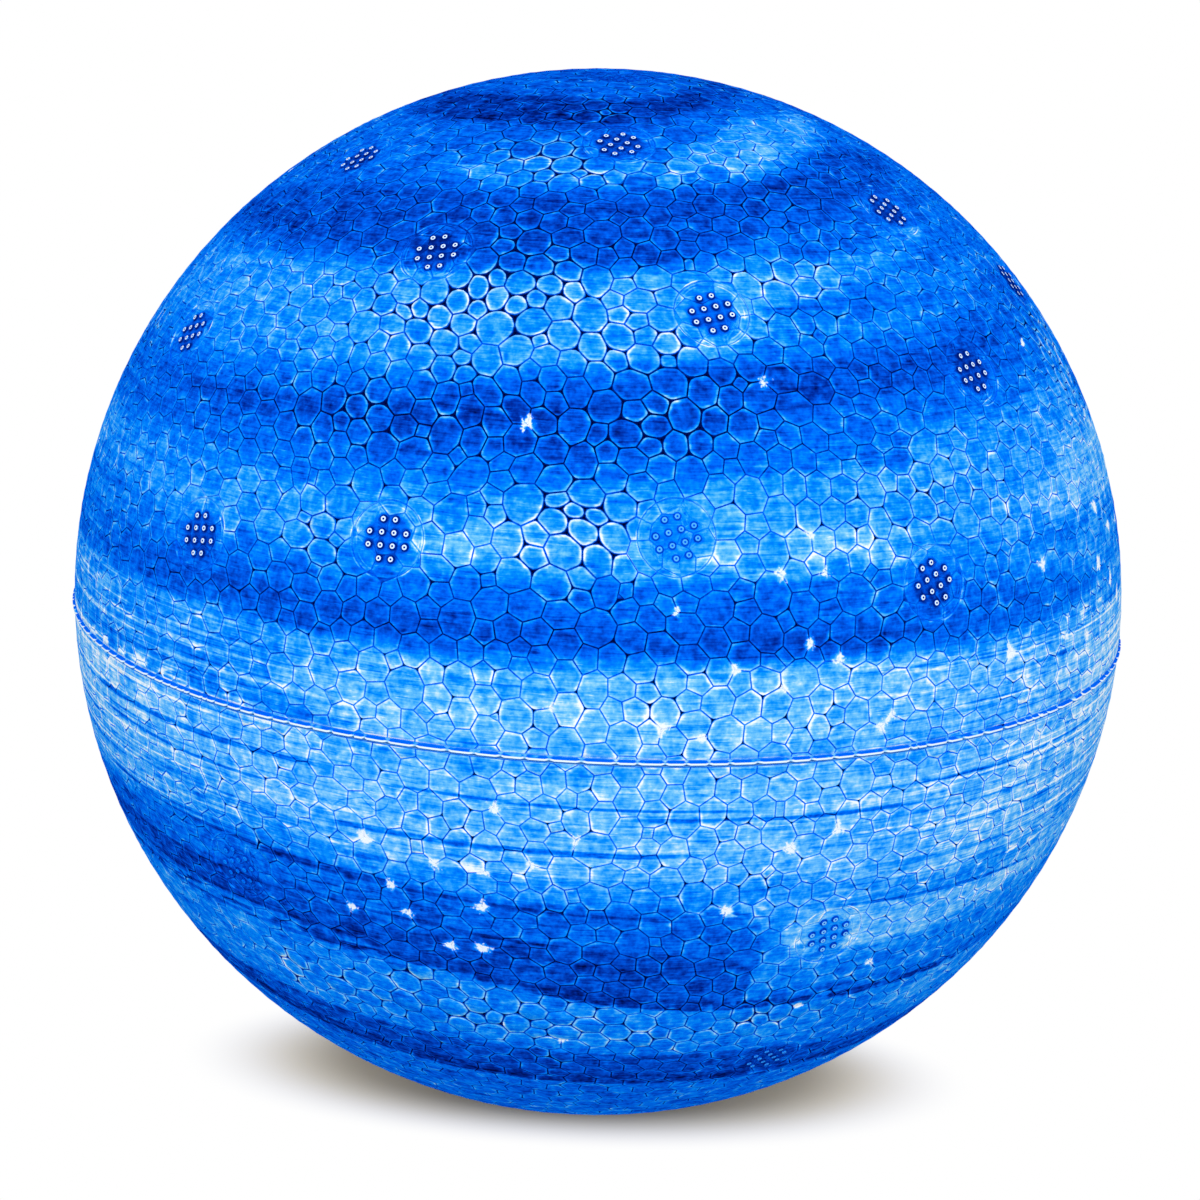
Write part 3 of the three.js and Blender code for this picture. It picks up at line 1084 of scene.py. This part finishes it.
def line_field(points, number):
    """For one set of lines: how far each point is above the nearest, how clearly that one shows, half its width."""
    latitude, longitude = places_of(points)
    found = np.tile((2 * line_reach, 0.0, 1.0), (len(points), 1))
    for first_around, first_up, last_around, last_up, half_width in stray_lines[number::line_sets]:
        along = (longitude - first_around + 20) % 360 - 20
        along = along / (last_around - first_around)
        above = (latitude - first_up - along * (last_up - first_up)) * math.radians(1) * ball_radius / mm
        shown = np.interp(along, (0, line_fade, 1 - line_fade, 1), (0, 1, 1, 0)) * (abs(above) < line_reach)
        nearer = (abs(above) < abs(found[:, 0])) & (along > -0.1) & (along < 1.1)
        found[nearer] = np.stack([above, shown, np.full(len(points), half_width)], -1)[nearer]
    return found


print(len(stray_lines), "stray lines in", line_sets, "sets")

# %% [markdown]
# ## Bare chips
# Where paint flaked off or never reached the joint between beads, the white foam shows as a small star. The list
# says where the photograph has them and how far they reach, in millimetres, and more are scattered over the rest of
# the ball. Each one is moved to the nearest joint between beads, because they all sit on one.

# %% Chips
chips = [
    (30.0, -7.4, 0.7), (34.6, 17.9, 0.5), (19.4, 19.4, 0.5), (17.0, 17.0, 0.6), (17.3, 22.2, 0.5), (13.1, 7.0, 0.35),
    (10.4, 18.6, 0.8), (9.5, 22.3, 0.7), (8.2, 12.1, 0.8), (6.3, 17.0, 0.6), (4.8, -3.5, 0.6), (3.8, 6.5, 0.7),
    (2.7, 9.2, 0.9), (2.3, 26.0, 0.6), (3.3, 28.1, 0.6), (15.7, 48.8, 0.8), (11.6, 62.4, 1.3), (7.8, 43.0, 1.2),
    (18.5, 63.9, 1.2), (14.5, 68.0, 1.1), (9.6, 66.5, 1.2), (7.2, 70.5, 1.2), (35.6, 61.5, 1.0), (5.4, 58.0, 0.8),
    (-1.0, 48.0, 0.35), (-2.5, 52.0, 0.4), (-4.0, 55.0, 0.35), (-0.5, 57.0, 0.4), (-6.0, 58.0, 0.35),
    (-3.0, 60.0, 0.45), (-9.3, -20.4, 1.1), (-14.5, -18.5, 0.8), (-17.9, -22.8, 0.7), (-11.6, -15.0, 0.6),
    (-17.9, -17.5, 0.4), (-21.1, -13.4, 1.0), (-16.1, -10.1, 0.9), (-19.3, -9.4, 1.1), (-10.0, -5.4, 0.7),
    (-11.3, -8.8, 0.6), (-5.1, -8.7, 0.7), (-7.7, -0.4, 0.6), (-14.9, 14.3, 0.7), (-31.9, -1.8, 0.5),
    (-24.2, 31.9, 0.5), (-28.0, 24.6, 0.8), (-8.0, 19.2, 1.0), (-8.2, 23.4, 0.9),
]
extra_chips = 60
chance = np.random.default_rng(83)
for _ in range(extra_chips):
    place = direction_to(math.degrees(math.asin(chance.uniform(-0.9, 0.9))), chance.uniform(75, 285))
    height, around = places_of(np.array([place]))
    chips.append((float(height[0]), float(around[0]), float(chance.uniform(0.4, 1.0))))
print(len(chips), "chips")

# %% [markdown]
# ## Marks that the paint reads
# A shader can read a named mark at every corner and between corners. Some are written here by place: how loose the
# foam is, the tone of the ground, how far inside each paint's strokes a corner lies, where the nearest stray lines
# are, how far it is sideways from the nearest vent along that vent's own two directions, and which joints between
# beads are bare. A few of the vents are nearly painted over, so the vent's mark also holds how clearly it shows.

# %% Marks
painted_over = {(20, 7): 0.6, (-17, -37): 0.4, (-19, 25): 0.75, (-39, 25): 0.6, (82, -2): 0.25}
bare_spread = 1.75
chip_reach = 0.6 * mm
joint_mark = -0.1
skin_depth = 1 * mm


def vent_mark(points):
    """Each point's place in the grid of its nearest vent, in steps of the grid, and how clearly that vent shows."""
    axes = np.array([vent_axes(*place) for place in vents])
    chosen = (points @ axes[:, 0].T).argmax(1)
    along, across = ((points * axes[chosen, which]).sum(1) for which in (1, 2))
    clear = np.array([painted_over.get(place[:2], 1.0) for place in vents])[chosen]
    clear[np.hypot(along, across) > vent_radius + bead_width] = 0
    return np.stack([along / nib_pitch, across / nib_pitch, clear], -1)


def chip_mark(points, in_groove):
    """One half at the reach of a chip, more nearer to the joint that it sits on, and zero away from chips."""
    joints = points[in_groove]
    found = np.zeros(len(points))
    for latitude, longitude, size in chips:
        middle = np.array(direction_to(latitude, longitude)) * ball_radius
        away = np.linalg.norm(joints - middle, axis=1)
        if away.min() < bead_width:
            near = np.linalg.norm(points - joints[away.argmin()], axis=1) < chip_reach
            found[near] = np.maximum(found[near], 0.5 / (1 - 0.75 * size / bare_spread))
    return found


for half in (upper, lower):
    points = read_corners(half.data)
    add_mark(half.data, "loose", looseness(points))
    add_mark(half.data, "ground", np.interp(places_of(points)[0], *zip(*ground)))
    for paint in paints:
        add_mark(half.data, paint, stroke_field(points, paint))
    for number in range(line_sets):
        add_mark(half.data, f"lines_{number}", line_field(points, number))
    add_mark(half.data, "vent", vent_mark(points))
    edge_marks = np.empty(len(points))
    half.data.attributes["from_edge"].data.foreach_get("value", edge_marks)
    in_groove = (edge_marks < joint_mark) & (np.linalg.norm(points, axis=1) > ball_radius - skin_depth)
    add_mark(half.data, "chip", chip_mark(points, in_groove))
    print(half.name, len(half.data.attributes), "attributes")

# %% [markdown]
# ## Writing shader sums as plain formulas
# The paint is a long formula, and a formula reads better as text than as a list of nodes. This small class wraps an
# output socket, so that adding or multiplying two of them makes the math node in between. Its method feed adds any
# other node: first the type, then its settings, then what goes into its inputs. A formula begins at an empty node
# tree and ends at the tree's output.

# %% Wire
class Wire:
    """An output socket that takes part in sums."""

    def __init__(self, tree, socket=None):
        self.tree, self.socket = tree, socket

    def feed(self, kind, settings=None, inputs=None, output=0):
        node = self.tree.nodes.new(kind)
        for name, value in (settings or {}).items():
            setattr(node, name, value)
        for name, value in (inputs or {}).items():
            if isinstance(value, Wire):
                self.tree.links.new(value.socket, node.inputs[name])
            else:
                node.inputs[name].default_value = value
        return Wire(self.tree, node.outputs[output])

    def math(self, operation, *others):
        return self.feed("ShaderNodeMath", {"operation": operation}, dict(enumerate((self, *others))))

    def __add__(self, other):
        return self.math("ADD", other)

    def __mul__(self, other):
        return self.math("MULTIPLY", other)

    def __sub__(self, other):
        return self.math("SUBTRACT", other)

    def __rsub__(self, other):
        return (self * -1).math("ADD", other)

    def __truediv__(self, other):
        return self.math("DIVIDE", other)

    __radd__, __rmul__ = __add__, __mul__

    def at_least(self, other):
        return self.math("MAXIMUM", other)

    def at_most(self, other):
        return self.math("MINIMUM", other)

    def step(self, low, high):
        """Rises smoothly from 0 at low to 1 at high, or falls if low is the larger."""
        if low > high:
            return 1 - self.step(high, low)
        return self.feed("ShaderNodeMapRange", {"interpolation_type": "SMOOTHSTEP"}, {0: self, 1: low, 2: high})

    def toward(self, other, share):
        """Moves this value a share of the way to another."""
        return self + (other - self) * share

    def blend(self, other, share):
        """Mixes two colours."""
        colours = {0: share, 6: self, 7: other}
        return self.feed("ShaderNodeMix", {"data_type": "RGBA"}, colours, output=2)

    def to_surface(self):
        output = next(node for node in self.tree.nodes if node.type.startswith("OUTPUT"))
        self.tree.links.new(self.socket, output.inputs["Surface"])


def empty_tree(owner):
    """Clears the nodes of a material or a world down to its output."""
    owner.use_nodes = True
    for node in list(owner.node_tree.nodes):
        if not node.type.startswith("OUTPUT"):
            owner.node_tree.nodes.remove(node)
    return Wire(owner.node_tree)


def rgb(red, green, blue):
    """A colour given as the eye sees it, 0 to 255, in the linear numbers that a shader wants."""
    def linear(value):
        value /= 255
        return value / 12.92 if value <= 0.04045 else ((value + 0.055) / 1.055) ** 2.4
    return (linear(red), linear(green), linear(blue), 1)


print("linear azure", [round(value, 3) for value in rgb(0, 130, 250)])

# %% [markdown]
# ## Tools for the paint
# All the blues on the ball lie on one path, from near-black over royal, azure and pale blue to white. So the shader
# works out a single tone from 0 to 1 and turns it into a colour at the very end, on one ramp. The marks tell it what
# belongs to a bead or a place, and noise adds what the brush did by chance. Noise that is stretched round the ball
# looks like bristle streaks, because the ball turned under the brush. All lengths in the paint are in millimetres.

# %% Marks and noise for the paint
foam_paint = bpy.data.materials.new("painted_foam")
start = empty_tree(foam_paint)


def mark(name, output="Fac"):
    return start.feed("ShaderNodeAttribute", {"attribute_name": name}, output=output)


def parts_of(vector):
    node = start.feed("ShaderNodeSeparateXYZ", inputs={0: vector})
    return [Wire(start.tree, socket) for socket in node.socket.node.outputs]


def place_at(x, y, z):
    return start.feed("ShaderNodeCombineXYZ", inputs={0: x, 1: y, 2: z})


def noise(where, detail):
    """Noise with a mean of 0 and about 1 at its strongest."""
    settings = {"Vector": where, "Scale": 1, "Detail": detail, "Roughness": 0.5}
    return (start.feed("ShaderNodeTexNoise", inputs=settings) - 0.5) * 4


place = start.feed("ShaderNodeTexCoord", output="Object")
x, y, z = (part / mm for part in parts_of(place))
radius_mm = ball_radius / mm
up_skin = (z / radius_mm).at_most(0.999).at_least(-0.999).math("ARCSINE") * radius_mm


def streaks(length, width, shift=0, detail=2):
    """Noise stretched round the ball: streaks of about a length and a width."""
    return noise(place_at(x / length + shift, y / length + shift, up_skin / width), detail)


def clouds(size, shift=0, detail=2):
    """Noise in patches of about a size."""
    return noise(place_at(x / size + shift, y / size, z / size), detail)


tone = mark("bead_tone")
broad = streaks(34, 3.2, detail=3)
brushed = streaks(11, 0.8, detail=3)
lines = streaks(60, 0.5, 4.7)
bristle = streaks(2.6, 0.26, tone * 9)
mottle = clouds(0.5, detail=3)
cloudy = clouds(1.3, tone * 7)
patchy = clouds(2.2, detail=1)
print(len(start.tree.nodes), "nodes for the noise")

# %% [markdown]
# ## Ground, strokes and stray lines
# The tone starts at the ground. Each paint pulls it to its own tone inside its strokes. The streaks move the edge of
# a stroke in and out, which makes it ragged, and near the underside the edges are crisper. Then come the thin dark
# lines. Near the parting line and towards both sides the brush was nearly dry, so the skin looks combed there.

# %% Ground and strokes
edge_wander = broad * 1.3 + brushed * 1.1 + lines * 0.7 + bristle * 0.3 + (tone - 0.5) * 1.6 + patchy * 0.6
# For each paint: where its edge begins and ends, and how ragged it is.
edges = {
    "light": (-2.2, 1.8, 0.9), "pale": (-2.2, 1.8, 0.9), "frost": (-2.0, 1.6, 0.9),
    "royal": (-1.5, 0.9, 0.9), "dark": (-1.4, 1.0, 0.9), "navy": (-0.4, 0.4, 0.35),
}
crisp = up_skin.step(-14, -26)
level = mark("ground") + broad * 0.045
for paint, (low, high, ragged) in edges.items():
    inside = (mark(paint) + edge_wander * (ragged - crisp * ragged * 0.55)) * (crisp * 1.4 + 1)
    level = level.toward(paints[paint], inside.step(low, high))


def stray_line_mask():
    """1 inside the thin dark lines that stray bristles drew, and 0 elsewhere."""
    found, wander = 0, broad * 0.25
    for number in range(line_sets):
        above, shown, half_width = parts_of(mark(f"lines_{number}", "Vector"))
        off_line = (above + wander).math("ABSOLUTE") / half_width
        found = (off_line.step(1, 0.3) * shown).at_least(found)
    return found * (brushed + 1).step(0.2, 0.7)


level = level.toward(level * 0.62, stray_line_mask())
to_side = x.math("ABSOLUTE") / radius_mm
combed = up_skin.step(-23, -16) * up_skin.step(16, 8) * (to_side.step(0.25, 0.8) * 0.75 + 0.25)
combed = combed.at_least(to_side.step(0.7, 0.98) * 0.5)
dry_lines = lines * 0.07 + lines.step(0.3, 0.65) * 0.16 - lines.step(-0.3, -0.65) * 0.15
level = level + brushed * 0.05 + combed * dry_lines
level = level.toward(paints["chalk"], (mark("chalk") + edge_wander * 0.25).step(-0.1, 0.35) * 0.9)
print(len(start.tree.nodes), "nodes with the strokes")

# %% [markdown]
# ## Beads and grooves
# Up close no bead is like the next. Each has its own tone, fine streaks and mottling. The beads' edges are painted
# lighter, most beside the holes: partly light paint where the brush bent over them, partly a painted highlight on
# their rounded shoulders. The brush can't reach into the grooves, which stay dark, and the holes are painted
# near-black, a painted shade for their depth. At the parting line and in a vent print the grooves are weaker,
# because the mould pressed them shut.

# %% Beads and grooves
from_edge, loose, pale_edge_and_highlight = (mark(name) for name in ("from_edge", "loose", "pale_edge_and_highlight"))
scratch = streaks(6, 0.4, tone * 3 + 2)
dashes = streaks(1.6, 0.13, tone * 11 + 5)
level = level + (tone - 0.5) * 0.09 + bristle * 0.075 + mottle * 0.07 + cloudy * 0.115 - 0.012
level = level - scratch.step(0.25, 0.7) * (combed * 0.04 + 0.09) + dashes.step(0.5, 0.95) * 0.12

# Bead edges painted lighter: partly light paint, partly a painted highlight on the rounded shoulders of every bead.
on_bead = from_edge.step(-0.03, 0.03)
pale_edge_and_highlight_share = (pale_edge_and_highlight * 1.5 + patchy * 0.5 + loose * 0.1 - 0.1).at_least(0).at_most(1.2)
pale_edge_and_highlight_band = from_edge.step(0.36, 0.06) * 0.17 + from_edge.step(0.8, 0.05) * (0.09 + cloudy * 0.1)
level = level + on_bead * pale_edge_and_highlight_share * pale_edge_and_highlight_band + on_bead * from_edge.step(0.42, 0.03) * 0.08

u, v, clear = parts_of(mark("vent", "Vector"))
pitch_mm = nib_pitch / mm
off_vent = (u * u + v * v).math("SQRT") * pitch_mm
in_groove = from_edge.step(0.01, -0.08) * (1 - z.step(0.1, 0.2) * z.step(0.82, 0.68))
in_groove = in_groove * (1 - off_vent.step(5.6, 4.6) * (clear * 0.5 + 0.2) * clear.step(0.1, 0.3))
level = level - in_groove * (0.15 + loose * 0.12)
# The holes between beads are painted near-black, a painted shade for their depth.
level = level.toward(0.04, from_edge.step(-0.29, -0.34))
print(len(start.tree.nodes), "nodes with the beads")

# %% [markdown]
# ## Vent prints
# The nibs stand in a grid of four by four without its corners. A vent's mark holds the place in that grid, so one
# formula draws a dark ring round every nib, partly paint pooled at its foot and partly painted shade, its white rim
# and the dark dimple in its tip. Faint light arcs follow the print's edge, on some sides only.

# %% Vent prints
nib_u, nib_v = (part.math("FLOORED_MODULO", 1) - 0.5 for part in (u, v))
off_nib = (nib_u * nib_u + nib_v * nib_v).math("SQRT") * pitch_mm
u, v = (part.math("ABSOLUTE") for part in (u, v))
in_grid = clear * u.at_least(v).step(2.01, 1.99) * u.at_most(v).step(1.01, 0.99)
# A darker disc of paint over the print's middle, and round each nib a dark halo that is partly painted shade.
around_nibs = (off_vent + patchy * 0.3).step(3.2, 2.3) * 0.45 + in_grid * off_nib.step(1.0, 0.5) * 0.4
level = level.toward(level * 0.42, around_nibs * clear * clear)
# Round every nib, from outside in: where a ring begins, where it is full, its tone and its share. The dark
# ring at the nib's foot is partly paint pooled there and partly painted shade.
for begins, full, ring_tone, share in ((0.58, 0.44, 0.10, 0.85), (0.34, 0.28, 0.99, 0.95), (0.15, 0.11, 0.14, 1)):
    level = level.toward(ring_tone, in_grid * off_nib.step(begins, full) * share)
arc_side = (patchy * 2.0 - 0.1).at_least(0).at_most(1) * clear
arc, rim_arc = ((off_vent - radius).math("ABSOLUTE").step(0.14, 0.04) * arc_side for radius in (3.95, 4.6))
level = level + (arc + rim_arc) * 0.2
print(len(start.tree.nodes), "nodes with the vents")

# %% [markdown]
# ## The parting line and the chips
# Along the parting line a dark dash is painted above the lip between two bead walls, a painted shade for the
# channel over it. Under the dash the lip's edge is painted white, a painted highlight, and the gap below is painted
# pale, a painted light that lifts its shade to azure. A chip is white foam. Its outline follows the joint that it
# sits on, and noise breaks it up into spikes.

# %% Parting line and chips
lip, chip = mark("lip"), mark("chip")
# A dark dash above the lip's white edge: painted shade in the channel over the lip.
painted_lip_shade = z.step(0.37, 0.41) * (z - lip.step(0.0, 0.45) * 0.2).step(0.44, 0.38) * (patchy + 0.6).step(0, 0.3)
level = level.toward(0.40, painted_lip_shade)
# A white edge on the lip's outer face: a painted highlight.
level = level.toward(0.95, z.step(0.13, 0.17) * z.step(0.42, 0.36) * (lip.step(0, 0.3) * 0.5 + 0.5))
# The gap below the lip is painted pale, a painted light that lifts its shade to azure.
level = level.toward(0.76, z.math("ABSOLUTE").step(0.19, 0.15))

spikes = from_edge.step(0.35, 0.0) * 0.14 + clouds(0.4, 9) * 0.26 + clouds(1.0, 4) * 0.14
chipped = (chip + chip.step(0.05, 0.3) * spikes - 0.62).step(-0.1, 0.12) * 0.95
level = level.toward(0.88, (chip + spikes * chip - 0.45).step(-0.22, 0.2) * 0.6)
print(len(start.tree.nodes), "nodes with the parting line and chips")

# %% [markdown]
# ## From tone to colour
# One ramp turns the tone into the blues of the photograph, from the darkest to white, and blends between them.

# %% Blues
ramp_colours = [
    (0.03, rgb(0, 8, 70)), (0.16, rgb(0, 40, 150)), (0.25, rgb(1, 64, 188)), (0.33, rgb(0, 84, 222)),
    (0.41, rgb(0, 104, 242)), (0.48, rgb(0, 122, 250)), (0.56, rgb(8, 142, 253)), (0.63, rgb(50, 160, 253)),
    (0.74, rgb(104, 188, 252)), (0.79, rgb(134, 201, 252)), (0.86, rgb(180, 220, 252)), (0.97, rgb(238, 247, 255)),
]
blues = start.feed("ShaderNodeValToRGB", inputs={0: level})
ramp = blues.socket.node.color_ramp
while len(ramp.elements) < len(ramp_colours):
    ramp.elements.new(0.5)
for element, (position, colour) in zip(ramp.elements, ramp_colours):
    element.position = position
    element.color = colour
print(len(ramp.elements), "blues on the ramp")

# %% [markdown]
# ## Bare foam and the finished paint
# Chips and bare foam are mixed in after the ramp. Bare foam is what the mould's core pressed: the rims and the
# hollow. The hollow has its bead walls from its own net, and the turned rims from a cell pattern of the same size.
# The bristle marks also feed a little bump. Paint that has sunk into foam has no gloss, so its specular level is 0.

# %% Bare foam and shader
def plain_colour(colour):
    node = start.feed("ShaderNodeRGB")
    node.socket.default_value = colour
    return node


foam_white = plain_colour(rgb(236, 244, 255))
bare_white = plain_colour(rgb(240, 242, 246))
bead_mm = bead_width / mm
cells = {"Vector": place_at(x / bead_mm, y / bead_mm, z / bead_mm), "Scale": 1}
to_wall = start.feed("ShaderNodeTexVoronoi", {"feature": "DISTANCE_TO_EDGE"}, cells, "Distance")
rim_walls = from_edge.step(1.60, 1.62) * to_wall.step(0.045, 0.015)
bare_white = bare_white.blend(rgb(196, 202, 214), from_edge.step(0.12, -0.1).at_least(rim_walls * 0.8))
bare_white = bare_white.blend(rgb(222, 228, 238), (cloudy * 0.5 + 0.3).at_least(0).at_most(0.6))
off_axis_mm = (x * x + y * y).math("SQRT")
bare = mark("bare_foam").step(0.4, 0.6) * off_axis_mm.step(73.8, 73.0).at_least(z.math("ABSOLUTE").step(6, 7))
colour = blues.blend(foam_white, chipped).blend(bare_white, bare)

relief = bristle * 0.012 + mottle * 0.01 + arc * 0.05
bump = start.feed("ShaderNodeBump", inputs={"Height": relief, "Distance": mm, "Strength": 1.0})
shine = start.feed("ShaderNodeBsdfPrincipled", inputs={
    "Base Color": colour, "Roughness": 0.5 + mottle * 0.08, "Normal": bump, "Specular IOR Level": 0.0,
})
shine.to_surface()
print(len(start.tree.nodes), "nodes in the paint")

# %% [markdown]
# ## Finishing both halves
# Each half gets the paint as its only material and is shaded smooth, with edges sharper than the limit left crisp.
# Then it is tied to its body in the frame, so that it moves with it.

# %% Finish the halves
smooth_limit = math.radians(50)

for half, node, body in ((upper, "upper_half", "upper"), (lower, "lower_half", "lower")):
    half.data.materials.clear()
    half.data.materials.append(foam_paint)
    only(half)
    bpy.ops.object.shade_smooth_by_angle(angle=smooth_limit)
    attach(half, body)
    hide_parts(node)
    print(half.name, "rides", body)

# %% [markdown]
# ## The table
# The ball lies on a white table in a bright, even room. In the photograph only the shadow under the ball is left of
# the table, so the floor is matt there and turns to plain white light away from it. Where the shadow is, the floor
# has a warm colour, because the blue ball throws blue light on it and the shadow in the photograph is neutral. Rays
# that show the surroundings, to the camera or in a reflection, meet full white. Those that only light the ball meet
# a dimmer one, so that its underside stays dark enough.

# %% Table
floor_bounce = 0.72
shadow_stretch = 0.17
shadow_shift = 4


def shown_rays(start):
    """1 for the rays in which the white surroundings are seen, and 0 for those that only light the ball."""
    camera_ray = start.feed("ShaderNodeLightPath", output="Is Camera Ray")
    rays = camera_ray.socket.node.outputs
    glossy, through = (Wire(start.tree, rays[name]) for name in ("Is Glossy Ray", "Is Transmission Ray"))
    return camera_ray.at_least(glossy).at_least(through)


def white_light(start, strength, kind="ShaderNodeEmission"):
    return start.feed(kind, inputs={"Color": (1, 1, 1, 1), "Strength": strength})


floor = add_shape(bpy.ops.mesh.primitive_plane_add, size=8, location=(0, 0, -ball_radius))
floor.name = floor.data.name = "floor"
table_white = bpy.data.materials.new("table_white")
start = empty_tree(table_white)
paler, white = (white_light(start, strength) for strength in (floor_bounce, 1.0))
away = start.feed("ShaderNodeMixShader", inputs={0: shown_rays(start), 1: paler, 2: white})
floor_x, floor_y, _ = (part / mm for part in parts_of(start.feed("ShaderNodeTexCoord", output="Object")))
floor_y = floor_y + shadow_shift
under_ball = (floor_x * floor_x * shadow_stretch + floor_y * floor_y).math("SQRT")
warm_white = plain_colour((0.95, 0.76, 0.40, 1))
matt = start.feed("ShaderNodeBsdfPrincipled", inputs={
    "Base Color": warm_white.blend((0.96, 0.95, 0.92, 1), under_ball.step(17, 26)),
    "Roughness": 1.0, "Specular IOR Level": 0.0,
})
start.feed("ShaderNodeMixShader", inputs={0: under_ball.step(13.5, 25.5), 1: matt, 2: away}).to_surface()
floor.data.materials.append(table_white)
print("floor at", round(-ball_radius / mm, 2), "mm")

# %% [markdown]
# ## The light
# A dome of soft light comes from the world, and one large lamp above and in front adds a little direction. Here too
# the white that is seen is brighter than the white that lights the ball. The Standard view keeps the blues as strong
# as they are mixed.

# %% Light
dome_strength = 0.78
lamp_power = 4.6
lamp_size = 0.7

world = bpy.data.worlds.new("studio")
bpy.context.scene.world = world
start = empty_tree(world)
dome, backdrop = (white_light(start, strength, "ShaderNodeBackground") for strength in (dome_strength, 1.0))
start.feed("ShaderNodeMixShader", inputs={0: shown_rays(start), 1: dome, 2: backdrop}).to_surface()

lamp_data = bpy.data.lights.new("lamp", "AREA")
lamp_data.size = lamp_size
lamp_data.energy = lamp_power
lamp = bpy.data.objects.new("lamp", lamp_data)
lamp.location = (0.0, -0.87, 0.5)
lamp.rotation_euler = (-lamp.location).to_track_quat("-Z", "Y").to_euler()
bpy.context.scene.collection.objects.link(lamp)
bpy.context.scene.view_settings.view_transform = "Standard"
print("dome", dome_strength, "lamp", lamp_power, "W")
